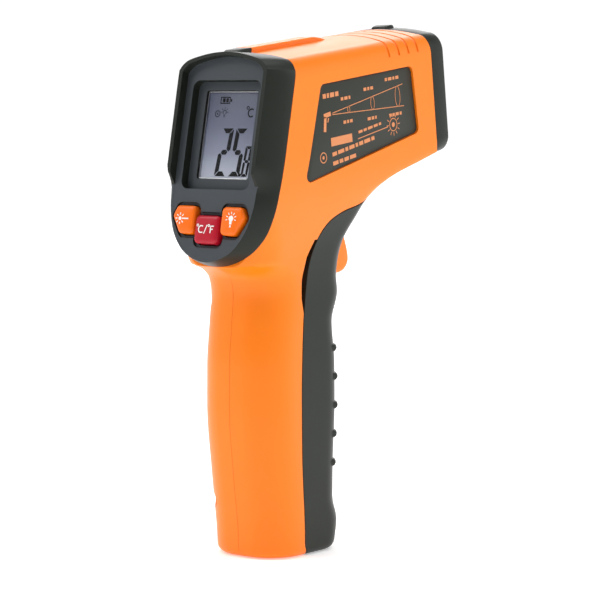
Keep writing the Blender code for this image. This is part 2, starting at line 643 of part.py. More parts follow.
def make_battery_door():
    door = common(outer_form("battery_door", DARK), door_region(GAP))
    for height in RIB_HEIGHTS:
        table = [(row[3], row[2]) for row in SECTIONS]
        front = through(table, height)[0]
        rib = turned("rib", ((0.3, -RIB_HALF_LENGTH - 0.8), (RIB_RADIUS, -RIB_HALF_LENGTH),
                             (RIB_RADIUS, RIB_HALF_LENGTH), (0.3, RIB_HALF_LENGTH + 0.8)), DARK,
                     along("X", 0, front - 0.1, height), 16)
        door = join(door, rib)
    door = cut(door, outer_form("hollow", DARK, WALL))
    y, z = DOOR_PIN
    half = KNUCKLE_HALF_LENGTH
    knuckle = turned("knuckle", ((KNUCKLE_RADIUS, -half), (KNUCKLE_RADIUS, half)), DARK, along("X", 0, y, z), 24)
    web = box("web", (-half, y - 1.5, 0.9), (half, y + 1.5, z), DARK)
    door = join(door, web, knuckle)
    slot = box("slot", (-TRIGGER_SLOT, -12, 80.5), (TRIGGER_SLOT, FAR, 130), DARK)
    bore = turned("bore", ((DOOR_PIN_RADIUS + RUN, -FAR), (DOOR_PIN_RADIUS + RUN, FAR)), DARK, along("X", 0, y, z), 24)
    lug = KNUCKLE_HALF_LENGTH + 0.1
    notches = [box("notch", (low, -FAR, -1), (low + LUG_WIDTH + 0.8, y + 2.6, z), DARK)
               for low in (lug, -lug - LUG_WIDTH - 0.8)]
    return cut(door, slot, bore, *notches)


# ---------------------------------------------------------------- display and buttons
def make_display():
    width, height = WINDOW
    window = prism("display_window", rounded(rectangle(width + 2.6, height + 2.6), 1.2), JUNCTION + 0.1, -1.2, CLEAR, FACE)
    pane = rounded(rectangle(width - 2 * GAP, height - 2 * GAP), 0.6)
    join(window, prism("pane", pane, -1.5, PANE_TOP, CLEAR, FACE))
    box("lcd_panel", (-width / 2 - 1.6, -height / 2 - 2.2, -3.6), (width / 2 + 1.6, height / 2 + 1.6, -2.3),
                 GLASS, FACE)
    box("backlight", (-width / 2 - 1.6, -height / 2 - 1.0, -5.4), (width / 2 + 1.6, height / 2 + 1.6, -3.9), WHITE, FACE)
    box("lcd_connector", (-width / 2 - 1.0, -height / 2 - 2.2, -5.4), (width / 2 + 1.0, -height / 2 - 1.3, -3.9),
        RUBBER, FACE)
    outline = ((-16.0, 19.0), (16.0, 19.0), (16.5, -20.0), (11.5, -31.5), (-11.5, -31.5), (-16.5, -20.0))
    prism("main_board", rounded(outline, 1.5, 2), -7.3, -5.7, BOARD, FACE)
    turned("buzzer", ((4.6, -10.6), (4.9, -10.4), (4.9, -7.6)), BLACK, FACE @ Matrix.Translation(Vector((8, 8, 0)) * MM), 24)


def make_button(name, outline):
    """A moulded key: its cap with a rounded top, a flange behind the plate and a stem on its switch."""
    top = PLATE + BUTTON_PROUD
    rings = []
    for inset, w in ((0.0, -0.4), (0.0, top - 0.9), (0.25, top - 0.35), (0.8, top)):
        ring = rounded(grown(outline, -inset), BUTTON_CORNER - inset * 0.5, 3)
        rings.append([(x, y, w) for x, y in ring])
    finish = RED if name == "button_unit" else ORANGE
    cap = loft(name, rings, finish, FACE)
    centre = sum((Vector(p) for p in outline), Vector((0, 0))) / len(outline)
    flange = prism("flange", rounded(grown(outline, 0.1 if name == "button_unit" else -0.1), 1.0, 2), -0.8, 0.2, finish, FACE)
    stem = turned("stem", ((1.6, -2.1), (1.6, 0.0)), finish, FACE @ Matrix.Translation(centre.to_3d() * MM), 16)
    return join(cap, flange, stem), centre


def make_switch(name, centre):
    place = FACE @ Matrix.Translation(centre.to_3d() * MM)
    body = box(name, (-2.6, -2.6, -5.4), (2.6, 2.6, -3.6), BLACK, place)
    return join(body, turned("plunger", ((1.4, -4.0), (1.4, -3.2)), BLACK, place, 16))


# ---------------------------------------------------------------- optics
def make_optics():
    lens = inside(BARREL, 0, RING_REAR, LENS_HEIGHT, "Y")
    dome = [(LENS_RADIUS, -6.6), (LENS_RADIUS, -5.6), (LENS_RADIUS * 0.8, -5.2), (LENS_RADIUS * 0.45, -4.95),
            (0.4, -4.9)]
    turned("ir_lens", dome, BLACK, lens, 40)
    outer = LENS_RADIUS + 2.0
    barrel = turned("lens_barrel", ((outer, -24.0), (outer, -6.9)), STEEL, lens, 32)
    bore = turned("bore", ((LENS_RADIUS - 0.8, -21.0), (LENS_RADIUS - 0.8, -6.0)), STEEL, lens, 32)
    neck = turned("neck", ((4.9, -25.0), (4.9, -20.0)), STEEL, lens, 32)
    cut(barrel, bore, neck)
    turned("thermopile_sensor", ((4.6, -24.6), (4.6, -24.2), (4.1, -24.0), (4.1, -20.6), (3.8, -20.3)), STEEL, lens, 32)
    prism("sensor_board", rounded(rectangle(26.0, 28.0, (0, 2.0)), 1.5, 2), 24.9, 26.4, BOARD,
          lens @ Matrix.Rotation(math.pi, 4, "Y"))
    laser = inside(BARREL, 0, RING_REAR, LASER_HEIGHT, "Y")
    turned("laser_module", ((LASER_MODULE_RADIUS, -14.0), (LASER_MODULE_RADIUS, -3.4), (2.6, -3.0), (2.6, -0.9)), BRASS, laser, 24)
    turned("laser_window", ((LASER_RADIUS - 0.1, 1.6), (LASER_RADIUS - 0.1, 2.6)), CLEAR, laser, 24)
    ribbon = [on_barrel(s, h) for s, h in ((-9.0, -9.6), (20.0, -8.6), (35.0, -8.6), (35.0, -9.0), (20.0, -9.0), (-9.0, -10.0))]
    side_prism("sensor_ribbon", ribbon, 5.0, WHITE)


# ---------------------------------------------------------------- trigger
def make_trigger():
    y, z = TRIGGER_PIN
    outline = ((y - 3.4, z + 1.0), (y - 3.2, z - 6.0), (-3.4, 99.0), (0.8, 88.0), (4.6, 83.2), (8.0, 82.4),
               (12.6, 82.5), (15.4, 84.0), (16.4, 87.0), (15.4, 91.0), (13.2, 96.0), (10.4, 101.5), (7.2, 104.6),
               (3.4, 108.0), (y + 3.2, z + 2.0), (y, z + 3.4))
    half = TRIGGER_HALF_WIDTH
    trigger = side_prism("trigger", outline, half, ORANGE)
    bevel = trigger.modifiers.new("edge", "BEVEL")
    bevel.width = 1.2 * MM
    bevel.segments = 2
    bevel.limit_method = "ANGLE"
    bevel.angle_limit = math.radians(60)
    bore = turned("bore", ((TRIGGER_PIN_RADIUS + RUN, -FAR), (TRIGGER_PIN_RADIUS + RUN, FAR)), ORANGE, along("X", 0, y, z), 24)
    trigger = cut(trigger, bore)
    turned("trigger_pin", ((TRIGGER_PIN_RADIUS, -9.0), (TRIGGER_PIN_RADIUS, 9.0)), STEEL, along("X", 0, y, z), 24)
    coil(y, z)
    box("trigger_switch", (-3.2, -17.5, 92.0), (3.2, -11.5, 105.0), BLACK)


def coil(y, z):
    """The torsion spring beside the trigger, with its two legs."""
    curve = bpy.data.curves.new("trigger_spring", "CURVE")
    curve.dimensions = "3D"
    curve.bevel_depth = 0.3 * MM
    curve.bevel_resolution = 1
    curve.use_fill_caps = True
    curve.render_resolution_u = 0
    turns, steps, radius, start = 3, 12, 2.4, TRIGGER_HALF_WIDTH + 0.7
    points = [(start, y - radius, z - 9.0)]
    for i in range(turns * steps + 1):
        turn = math.pi + 2 * math.pi * i / steps
        points.append((start + 0.75 * i / steps, y + radius * math.cos(turn), z + radius * math.sin(turn)))
    points.append((start + 0.75 * turns, y - radius, z + 8.0))
    spline = curve.splines.new("POLY")
    spline.points.add(len(points) - 1)
    for point, (px, py, pz) in zip(spline.points, points):
        point.co = (px * MM, py * MM, pz * MM, 1.0)
    made = bpy.data.objects.new("trigger_spring", curve)
    curve.materials.append(STEEL)
    PARTS.objects.link(made)


# ---------------------------------------------------------------- batteries and their holder
def make_power():
    back = CELL_Y - CELL_RADIUS - 0.9
    floor, top = CELL_FLOOR - 4.0, CELL_FLOOR + CELL_LENGTH + 2.8
    half = CELL_SPACING + CELL_RADIUS + GAP + 1.2
    tray = box("battery_holder", (-half, back - 1.4, floor - 1.6), (half, CELL_Y - 1.5, top + 1.6), BLACK)
    tray = cut(tray, box("bay", (-half + 1.2, back, floor), (half - 1.2, FAR, top), BLACK))
    for side, name in ((-1, "left"), (1, "right")):
        x = side * CELL_SPACING
        up = 1 if side > 0 else -1
        bottom, end = CELL_FLOOR, CELL_FLOOR + CELL_LENGTH
        place = along("Z", x, CELL_Y, (bottom + end) / 2)
        if up < 0:
            place = place @ Matrix.Rotation(math.pi, 4, "X")
        reach = CELL_LENGTH / 2
        turned(f"cell_{name}", ((CELL_RADIUS - 0.5, -reach), (CELL_RADIUS, -reach + 0.5), (CELL_RADIUS, reach - 1.0),
                                (CELL_RADIUS - 0.5, reach - 0.6), (1.9, reach - 0.6), (1.9, reach + 0.5)),
               JACKET, place, 32)
        # A cone-wound contact spring stands under the flat end of each cell, as a stack of rings.
        flat = bottom if up > 0 else end
        step = -up
        rings = [(1.0, 0.0), (3.6, 0.2), (3.6, 0.7), (2.9, 0.7), (2.9, 1.2), (2.2, 1.2), (2.2, 1.8)]
        base = flat + step * 2.4
        height = 1 if up > 0 else -1
        turned(f"contact_spring_{name}", [(r, height * h) for r, h in rings], STEEL, along("Z", x, CELL_Y, base), 20)


def make_screws():
    for number, (y, z) in enumerate(SCREWS, 1):
        turned(f"shell_screw_{number}", ((2.3, -7.9), (2.3, -6.3), (SCREW_RADIUS, -6.3), (SCREW_RADIUS, 9.0)), STEEL,
               along("X", 0, y, z), 16)


def make_labels():
    floor = BARREL_HALF_WIDTH - 1.1
    for side, name in ((1, "right"), (-1, "left")):
        low, high = sorted((side * (floor + 0.1), side * (floor + 0.5)))
        prism(f"label_{name}", label_outline(0.25), low, high, DARK, BARREL @ SIDE)


def build():
    make_muzzle_ring()
    make_front_face()
    make_display_housing()
    volume = shell_volume("shells")
    half_shell("right_shell", 1, volume)
    half_shell("left_shell", -1, volume)
    drop(volume)
    make_battery_door()
    turned("door_pin", ((DOOR_PIN_RADIUS, -11.4), (DOOR_PIN_RADIUS, 11.4)), STEEL, along("X", 0, *DOOR_PIN), 24)
    make_display()
    for name, outline in BUTTONS.items():
        _, centre = make_button(name, outline)
        make_switch(name.replace("button", "switch"), centre)
    make_optics()
    make_trigger()
    make_power()
    make_screws()
    make_labels()


build()
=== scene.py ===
# %% [markdown]
# # A pistol-shaped infrared thermometer
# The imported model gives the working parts: shells, keys, trigger, door and joints. This notebook
# gives them the surfaces of the real tool, from an orange satin ABS body to the liquid crystal
# display. Pieces are modelled in millimetres in a handy local frame and are then put in place.

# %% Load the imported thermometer
from math import copysign, cos, pi, radians, sin, tan

import bpy
from mathutils import Matrix, Vector


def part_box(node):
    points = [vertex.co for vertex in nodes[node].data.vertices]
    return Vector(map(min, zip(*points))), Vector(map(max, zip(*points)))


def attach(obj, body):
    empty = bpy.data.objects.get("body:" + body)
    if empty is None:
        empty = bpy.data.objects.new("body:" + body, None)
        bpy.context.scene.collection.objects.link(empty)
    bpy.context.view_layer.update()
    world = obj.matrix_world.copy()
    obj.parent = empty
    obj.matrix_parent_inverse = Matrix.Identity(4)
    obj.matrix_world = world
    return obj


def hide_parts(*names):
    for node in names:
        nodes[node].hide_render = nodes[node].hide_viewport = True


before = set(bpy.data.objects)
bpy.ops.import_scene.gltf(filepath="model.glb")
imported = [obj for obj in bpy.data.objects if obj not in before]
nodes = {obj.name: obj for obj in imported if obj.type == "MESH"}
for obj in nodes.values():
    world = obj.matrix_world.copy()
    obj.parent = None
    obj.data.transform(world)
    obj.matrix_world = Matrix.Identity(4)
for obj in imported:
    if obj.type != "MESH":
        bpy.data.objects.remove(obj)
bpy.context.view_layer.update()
FINE = 2

# %% [markdown]
# ## Three frames to draw in
# The barrel is pitched up and the display leans back, so both are easiest to draw square and then
# tilted. A matrix holds each tilt. The third frame is a side view: an outline drawn as (y, z) is
# swept across x.

# %% Local frames
TO_METRES = Matrix.Diagonal((0.001, 0.001, 0.001, 1.0))
WORLD = Matrix.Identity(4)
BARREL = Matrix.Translation((0, -22.5, 124.8)) @ Matrix.Rotation(radians(7.2), 4, "X")
FACE = Matrix.Translation((0, -36.6, 125.4)) @ Matrix.Rotation(radians(90 - 11.4), 4, "X")
SIDE = Matrix(((0, 0, 1, 0), (1, 0, 0, 0), (0, 1, 0, 0), (0, 0, 0, 1)))
# Past every side of the tool, for the pieces that cut it.
FAR = 60.0
AXES = {"X": Matrix.Rotation(radians(90), 4, "Y"), "Y": Matrix.Rotation(radians(-90), 4, "X"), "Z": WORLD}


def on_barrel(s, h):
    """World y and z, in mm, of a point s along the barrel and h above its axis."""
    point = BARREL @ Vector((0, s, h))
    return point.y, point.z


def at(x, y, z, axis="Z", place=WORLD):
    """A frame at a point of another frame, with its z along X, Y or Z there."""
    return place @ Matrix.Translation((x, y, z)) @ AXES[axis]


print("muzzle end of the barrel axis, mm:", [round(v, 1) for v in on_barrel(69.2, 0)])

# %% [markdown]
# ## Working by hand, in code
# Every operator acts on what is selected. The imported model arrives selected, so each step starts
# by choosing one piece alone. Modifiers are applied at once, so the next step works on the result.

# %% Select, modify, cut
def only(piece):
    """Selects one piece and nothing else."""
    bpy.ops.object.select_all(action="DESELECT")
    piece.select_set(True)
    bpy.context.view_layer.objects.active = piece


def edit_all(piece):
    only(piece)
    bpy.ops.object.mode_set(mode="EDIT")
    bpy.ops.mesh.select_all(action="SELECT")


def done():
    bpy.ops.object.mode_set(mode="OBJECT")


def face_out():
    """Turns every face outwards and leaves edit mode."""
    bpy.ops.mesh.select_all(action="SELECT")
    bpy.ops.mesh.normals_make_consistent(inside=False)
    done()


def modify(piece, kind, **settings):
    """Adds a modifier with its settings and applies it."""
    only(piece)
    made = piece.modifiers.new(kind.lower(), kind)
    for key, value in settings.items():
        setattr(made, key, value)
    bpy.ops.object.modifier_apply(modifier=made.name)
    return piece


def soften(piece, width, segments=2, angle=60):
    """Rounds the edges that are sharper than an angle, with a width in mm."""
    return modify(piece, "BEVEL", width=width * 0.001, segments=segments, limit_method="ANGLE",
                  angle_limit=radians(angle))


def combine(piece, operation, tools):
    for tool in tools:
        modify(piece, "BOOLEAN", object=tool, operation=operation, solver="EXACT")
        bpy.data.objects.remove(tool, do_unlink=True)
    return piece


def cut(piece, *tools):
    return combine(piece, "DIFFERENCE", tools)


def join(piece, *tools):
    return combine(piece, "UNION", tools)


def put(piece, place):
    """Turns millimetres of a local frame into metres of the world, and applies it."""
    only(piece)
    piece.matrix_world = TO_METRES @ place
    bpy.ops.object.transform_apply(location=True, rotation=True, scale=True)
    return piece


def copied(piece, name):
    made = piece.copy()
    made.data = piece.data.copy()
    made.name = made.data.name = name
    bpy.context.scene.collection.objects.link(made)
    return made


def smooth(piece, degrees):
    only(piece)
    bpy.ops.object.shade_smooth_by_angle(angle=radians(degrees))


# %% [markdown]
# ## Five ways to start a piece
# A flat outline that is extruded makes plates, keys and labels. A profile that is spun makes round
# parts. A sheet wrapped round a row of cross sections makes the hand-shaped grip, which no
# primitive comes near. A box is a cube with its corners moved. A curve with a round bevel makes
# wire.

# %% Plates, lofts, turned parts, boxes and wires
def started(name, add, **options):
    """A new primitive, named and alone."""
    bpy.ops.object.select_all(action="DESELECT")
    add(**options)
    piece = bpy.context.object
    piece.name = piece.data.name = name
    return piece


def slabs(name, outlines, low, high, place):
    """Outlines, each given as (x, y), as flat faces of one mesh that are extruded together."""
    add = bpy.ops.mesh.primitive_circle_add
    piece = started(name, add, vertices=len(outlines[0]), fill_type="NGON")
    bpy.ops.object.mode_set(mode="EDIT")
    for outline in outlines[1:]:
        add(vertices=len(outline), fill_type="NGON")
    done()
    points = [point for outline in outlines for point in outline]
    for vertex, (x, y) in zip(piece.data.vertices, points):
        vertex.co = (x, y, low)
    edit_all(piece)
    bpy.ops.mesh.extrude_region_move(TRANSFORM_OT_translate={"value": (0, 0, high - low)})
    face_out()
    return put(piece, place)


def plate(name, outline, low, high, place):
    """One outline extruded from one height to another."""
    return slabs(name, [outline], low, high, place)


def side_plate(name, outline, half_width, place=WORLD):
    """An outline drawn in side view as (y, z), swept across x."""
    return plate(name, outline, -half_width, half_width, place @ SIDE)


def lofted(name, rings, place=WORLD):
    """A closed skin through rings of equal length: a grid sheet wrapped round them."""
    count = len(rings[0])
    piece = started(name, bpy.ops.mesh.primitive_grid_add, x_subdivisions=count,
                    y_subdivisions=len(rings) - 1)
    places = [value for ring in rings for i in range(count + 1) for value in ring[i % count]]
    piece.data.vertices.foreach_set("co", places)
    piece.data.update()
    edit_all(piece)
    bpy.ops.mesh.remove_doubles(threshold=0.002)
    bpy.ops.mesh.select_all(action="SELECT")
    bpy.ops.mesh.fill_holes(sides=0)
    face_out()
    return put(piece, place)


def turned(name, profile, place, sides):
    """A profile of (radius, height), from bottom to top, spun about z and closed."""
    turns = [2 * pi * i / sides for i in range(sides)]
    rings = [[(radius * cos(a), radius * sin(a), height) for a in turns] for radius, height in profile]
    return lofted(name, rings, place)


def rod(name, y, z, radius, low, high, sides=24):
    """A round bar across the tool, from one x to another."""
    return turned(name, ((radius, low), (radius, high)), at(0, y, z, "X"), sides)


def block(name, low, high, place=WORLD):
    piece = started(name, bpy.ops.mesh.primitive_cube_add, size=1)
    for vertex in piece.data.vertices:
        vertex.co = [b if c > 0 else a for a, b, c in zip(low, high, vertex.co)]
    return put(piece, place)


def wire(name, points, radius):
    """A round wire through points, as a mesh that still has to be put in place."""
    curve = started(name, bpy.ops.curve.primitive_nurbs_path_add).data
    curve.splines.clear()
    spline = curve.splines.new("POLY")
    spline.points.add(len(points) - 1)
    for knot, point in zip(spline.points, points):
        knot.co = (*point, 1.0)
    curve.bevel_depth = radius
    curve.bevel_resolution = 2
    curve.use_fill_caps = True
    bpy.ops.object.convert(target="MESH")
    return bpy.context.object


# %% [markdown]
# ## Outlines
# A moulding's corners are never sharp in plan, so outlines are drawn as corners and rounded, or as
# a few points with a smooth curve through them.

# %% Rounded, smooth and offset outlines
ARC_STEPS = 6


def quarter(steps):
    """Angles from 0 to 90 degrees in equal steps."""
    return [pi / 2 * k / steps for k in range(steps + 1)]


def rounded(outline, radius):
    """The outline with each corner replaced by an arc."""
    result = []
    count = len(outline)
    for i in range(count):
        here = Vector(outline[i])
        back = (Vector(outline[i - 1]) - here).normalized()
        ahead = (Vector(outline[(i + 1) % count]) - here).normalized()
        half = back.angle(ahead) / 2
        centre = here + (back + ahead).normalized() * (radius / sin(half))
        start = here + back * (radius / tan(half)) - centre
        end = here + ahead * (radius / tan(half)) - centre
        for k in range(ARC_STEPS + 1):
            arm = start.normalized().slerp(end.normalized(), k / ARC_STEPS)
            result.append(tuple(centre + arm * radius))
    return result


def rectangle(width, height, x=0.0, y=0.0):
    left, right, low, high = x - width / 2, x + width / 2, y - height / 2, y + height / 2
    return ((left, low), (right, low), (right, high), (left, high))


def centre_of(outline):
    return sum((Vector(p) for p in outline), Vector((0, 0))) / len(outline)


def grown(outline, by):
    """A convex outline moved outwards by a distance."""
    count = len(outline)
    middle = centre_of(outline)
    result = []
    for i in range(count):
        here = Vector(outline[i])
        normals = []
        for edge in (here - Vector(outline[i - 1]), Vector(outline[(i + 1) % count]) - here):
            side = Vector((edge.y, -edge.x)).normalized()
            normals.append(side if side.dot(here - middle) > 0 else -side)
        bisector = (normals[0] + normals[1]).normalized()
        result.append(tuple(here + bisector * (by / max(0.3, bisector.dot(normals[0])))))
    return result


def curve_through(points, steps, closed=False):
    """Points on a smooth curve through the given ones, evenly spaced between each two."""
    count = len(points)
    result = []
    for i in range(count if closed else count - 1):
        near = [i + k for k in (-1, 0, 1, 2)]
        before, start, end, after = [
            Vector(points[n % count if closed else min(max(n, 0), count - 1)]) for n in near]
        for k in range(steps):
            t = k / steps
            result.append(tuple(0.5 * (2 * start + (end - before) * t
                                       + (2 * before - 5 * start + 4 * end - after) * t**2
                                       + (3 * start - before - 3 * end + after) * t**3)))
    return result if closed else result + [tuple(points[-1])]


def whole(half):
    """A full outline from its right half, top centre to bottom centre."""
    return list(half) + [(-x, y) for x, y in half[-2:0:-1]]


print("drawing tools ready")

# %% [markdown]
# ## Finishes
# Nearly all of this tool is injection-moulded ABS. The mould is spark-eroded, which leaves a fine
# grain: highlights spread out into broad satin bands. ABS has an IOR near 1.53. Colours are given
# as a screen shows them and are turned to the linear values that light adds up in.

# %% Colour and node helpers
def colour(code):
    """#RRGGBB to linear red, green, blue and alpha."""
    values = [int(code[i:i + 2], 16) / 255 for i in (1, 3, 5)]
    return (*[v / 12.92 if v <= 0.04045 else ((v + 0.055) / 1.055) ** 2.4 for v in values], 1.0)


def add_node(finish, kind, values=None, links=None, **settings):
    """One node: its options, the values on its sockets, and links from (node, output) pairs."""
    made = finish.node_tree.nodes.new(kind)
    for key, value in settings.items():
        setattr(made, key, value)
    for key, value in (values or {}).items():
        made.inputs[key].default_value = value
    for key, (source, output) in (links or {}).items():
        finish.node_tree.links.new(source.outputs[output], made.inputs[key])
    return made


def new_finish(name, code, roughness, ior=1.5, **more):
    """A Principled surface with its plain values on the shader's own sockets."""
    finish = bpy.data.materials.new(name)
    finish.use_nodes = True
    shader = finish.node_tree.nodes["Principled BSDF"]
    shader.inputs["Base Color"].default_value = colour(code)
    shader.inputs["Roughness"].default_value = roughness
    shader.inputs["IOR"].default_value = ior
    for key, value in more.items():
        shader.inputs[key.replace("_", " ")].default_value = value
    finish.diffuse_color = colour(code)
    return finish, shader


def noise(finish, where, scale, detail):
    return add_node(finish, "ShaderNodeTexNoise", {"Scale": scale, "Detail": detail},
                    {"Vector": (where, "Object")})


def moulded(name, code, tint, roughness, grain, depth, edge=0.25, shine=0.30):
    """Moulded plastic: cloudy colour, spark-eroded grain and softened edges, sizes in mm."""
    finish, shader = new_finish(name, code, roughness, 1.53, Specular_IOR_Level=shine)
    links = finish.node_tree.links
    where = add_node(finish, "ShaderNodeTexCoord")
    # Pigment never mixes quite evenly: clouds about 25 mm across, very faint.
    clouds = noise(finish, where, 40.0, 3.0)
    tone = add_node(finish, "ShaderNodeMix", None, {"Factor": (clouds, "Fac")}, data_type="RGBA")
    tone.inputs[6].default_value = colour(code)
    tone.inputs[7].default_value = colour(tint)
    links.new(tone.outputs[2], shader.inputs["Base Color"])
    # Handling polishes some places more than others.
    worn = noise(finish, where, 90.0, 4.0)
    gloss = add_node(finish, "ShaderNodeMapRange", {"To Min": roughness - 0.04, "To Max": roughness + 0.05},
                     {"Value": (worn, "Fac")})
    links.new(gloss.outputs["Result"], shader.inputs["Roughness"])
    edges = add_node(finish, "ShaderNodeBevel", {"Radius": edge * 0.001}, samples=4)
    pits = noise(finish, where, 1000.0 / grain, 2.0)
    bump = add_node(finish, "ShaderNodeBump", {"Strength": 0.5, "Distance": depth * 0.001},
                    {"Height": (pits, "Fac"), "Normal": (edges, "Normal")})
    links.new(bump.outputs["Normal"], shader.inputs["Normal"])
    return finish


# %% [markdown]
# The orange is a strong, warm pigment. The dark mouldings are a grey with a touch of green. The plate round
# the display takes a lighter, bluer copy of that grey: painted light on the faces that look straight out.

# %% Plastics
ORANGE = moulded("orange_satin_abs", "#FF7F06", "#FF8309", 0.36, 0.5, 0.010)
KEY_ORANGE = moulded("orange_key_abs", "#F56C04", "#F97208", 0.34, 0.5, 0.006, 0.2)
RED = moulded("red_key_abs", "#B00C26", "#B8122B", 0.32, 0.5, 0.006, 0.2)
DARK = moulded("dark_satin_abs", "#212520", "#252923", 0.38, 0.45, 0.014, shine=0.2)
# Painted light: a lighter, bluer copy of the dark grey, for the plate round the display.
LIT_FACE_GREY = moulded("face_satin_abs_painted_light", "#43484C", "#474C51", 0.42, 0.45, 0.012, shine=0.2)
LABEL = moulded("label_film", "#2A2E27", "#2D312A", 0.46, 0.3, 0.004, 0.1, 0.2)
BLACK = moulded("black_nylon", "#1A1B1C", "#202122", 0.5, 0.5, 0.010)
WHITE = moulded("white_polycarbonate", "#E6E4DE", "#ECEAE5", 0.45, 0.6, 0.006)
RUBBER = moulded("silicone_rubber", "#2A2A2B", "#303031", 0.75, 0.4, 0.012)
print("plastics:", len(bpy.data.materials))

# %% [markdown]
# Inks sit on the plastic: white on the keys, light orange on the labels, and the black of the
# liquid crystal's own segments. An ink is thin and slightly glossy.

# %% Inks and glass
WHITE_INK, _ = new_finish("white_pad_print", "#F6F4F0", 0.35)
ORANGE_INK, _ = new_finish("light_orange_pad_print", "#DC8850", 0.4)
LCD_BLACK, _ = new_finish("liquid_crystal_on", "#06070A", 0.5, 1.3)


def ramp_along(finish, shader, low, high, stops):
    """Colours a piece along world z, from one height to another in mm."""
    where = add_node(finish, "ShaderNodeTexCoord")
    split = add_node(finish, "ShaderNodeSeparateXYZ", None, {"Vector": (where, "Object")})
    share = add_node(finish, "ShaderNodeMapRange", {"From Min": low * 0.001, "From Max": high * 0.001},
                     {"Value": (split, "Z")})
    ramp = add_node(finish, "ShaderNodeValToRGB", None, {"Fac": (share, "Result")})
    while len(ramp.color_ramp.elements) < len(stops):
        ramp.color_ramp.elements.new(0.5)
    for element, (position, code) in zip(ramp.color_ramp.elements, stops):
        element.position = position
        element.color = colour(code)
    finish.node_tree.links.new(ramp.outputs["Color"], shader.inputs["Base Color"])
    return ramp


# The reflector behind the crystal is a silvery blue-grey. Its ramp is painted light and shade: brighter at
# the foot, where light falls in, and darker towards the top.
LCD, lcd_shader = new_finish("liquid_crystal_off", "#8088A0", 0.4, 1.4)
ramp_along(LCD, lcd_shader, 112, 139, ((0, "#C9CEDD"), (0.3, "#8F94A8"), (0.62, "#6C7186"), (1, "#5E6276")))
PANE, _ = new_finish("clear_acrylic", "#2A2E33", 0.04, 1.49, Alpha=0.04)
LENS, _ = new_finish("coated_infrared_lens", "#14080C", 0.06, 1.9, Coat_Weight=1.0, Coat_Roughness=0.02)
LASER_GLASS, _ = new_finish("laser_window_glass", "#401014", 0.05, 1.52, Coat_Weight=0.6)

# %% [markdown]
# The metal parts are small and mostly hidden: zinc-plated steel, turned brass and aluminium. Each
# has a very fine, shallow roughness in its bump. The boards are green, with tracks under the mask.

# %% Metals, boards and cells
METAL_GRAIN = 0.3


def metal(name, code, roughness):
    finish, shader = new_finish(name, code, roughness, 1.5, Metallic=1.0)
    marks = noise(finish, add_node(finish, "ShaderNodeTexCoord"), 1000.0 / METAL_GRAIN, 3.0)
    bump = add_node(finish, "ShaderNodeBump", {"Strength": 0.3, "Distance": 0.00001},
                    {"Height": (marks, "Fac")})
    finish.node_tree.links.new(bump.outputs["Normal"], shader.inputs["Normal"])
    return finish


STEEL = metal("zinc_plated_steel", "#C2C3C6", 0.28)
BRASS = metal("turned_brass", "#C8A25A", 0.25)
ALUMINIUM = metal("turned_aluminium", "#B9BBBE", 0.32)

BOARD, board_shader = new_finish("solder_mask", "#14522E", 0.35)
board_where = add_node(BOARD, "ShaderNodeTexCoord")
# Cells about 1.2 mm across, a little lighter than the bare board.
tracks = add_node(BOARD, "ShaderNodeTexVoronoi", {"Scale": 800.0}, {"Vector": (board_where, "Object")},
                  distance="CHEBYCHEV")
track_tone = add_node(BOARD, "ShaderNodeValToRGB", None, {"Fac": (tracks, "Distance")})
track_tone.color_ramp.elements[0].color = colour("#1E6B3C")
track_tone.color_ramp.elements[1].color = colour("#114A28")
BOARD.node_tree.links.new(track_tone.outputs["Color"], board_shader.inputs["Base Color"])


def cell_jacket(name, low, high, foot, head, change):
    """A plain printed wrap: a dark barrel with a band of another colour at its plus end."""
    finish, shader = new_finish(name, "#1C2A4A", 0.3, 1.5, Coat_Weight=0.5)
    stops = ((0.0, foot), (change - 0.01, foot), (change + 0.01, head), (1.0, head))
    ramp_along(finish, shader, low, high, stops).color_ramp.interpolation = "CONSTANT"
    return finish


print("finishes:", len(bpy.data.materials))

# %% [markdown]
# ## The grip and barrel
# The body is two half shells that meet down the middle. In side view every cross section runs from
# the back of the hand to the trigger finger: a rounded back, flat flanks and a rounded front. The
# sections are read from one table, smoothly, so the palm swell and the throat have no corners.

# %% The table of sections
# height at the rear, rear y, front y, height at the front, half width, and the rear corner's depth
# and width
SECTIONS = (
    (0, -31.8, 0.7, 0, 14.4, 11.5, 11.5),
    (8.5, -32.3, 2.1, 8.5, 14.6, 11.5, 11.5),
    (16.5, -33.3, -0.2, 16.3, 14.8, 11.8, 11.8),
    (25, -34.4, -0.2, 25, 14.9, 12, 12),
    (45, -36.2, 0.5, 45, 15.1, 12, 12),
    (57, -36.1, 0.3, 57, 15.1, 12, 12),
    (69, -35.1, -0.9, 69.4, 15, 12, 12),
    (78.4, -34.3, 1.9, 78.4, 14.9, 12, 12),
    (83, -35.2, 1.1, 84, 15.1, 12, 12),
    (85.6, -38, 1.5, 89, 15.5, 12, 12),
    (87.4, -42.6, 3, 94, 16, 12, 12),
    (91, -43.4, 7.6, 100.6, 17, 12, 12),
    (96.6, -46.4, 12.2, 106.6, 18.4, 12, 11.6),
    (104, -51, 21, 112.2, 19.8, 11.5, 9),
    (111, -50.5, 38, 117.8, 20.5, 10, 6.5),
    (118, -50, 56, 122.9, 20.8, 10, 5.5),
)
# height and the radius of the front corners there
FRONT_RADII = ((0, 8), (100, 8), (112, 5), (118, 5))
# The barrel's half width, the height of its crown, and the roof's edge as (x, height).
HALF_WIDTH = 20.8
CROWN = 25.2
ROOF_EDGE = (15.8, 23.5)
CORNER_DROP = 6.0
WALL = 1.8
FOOT_RADIUS = 2.4
JUNCTION = -2.0
BARREL_REAR, BARREL_FRONT, BARREL_FLOOR = -30.0, 76.0, -14.0
RING_REAR, RING_FRONT = 62.0, 69.2


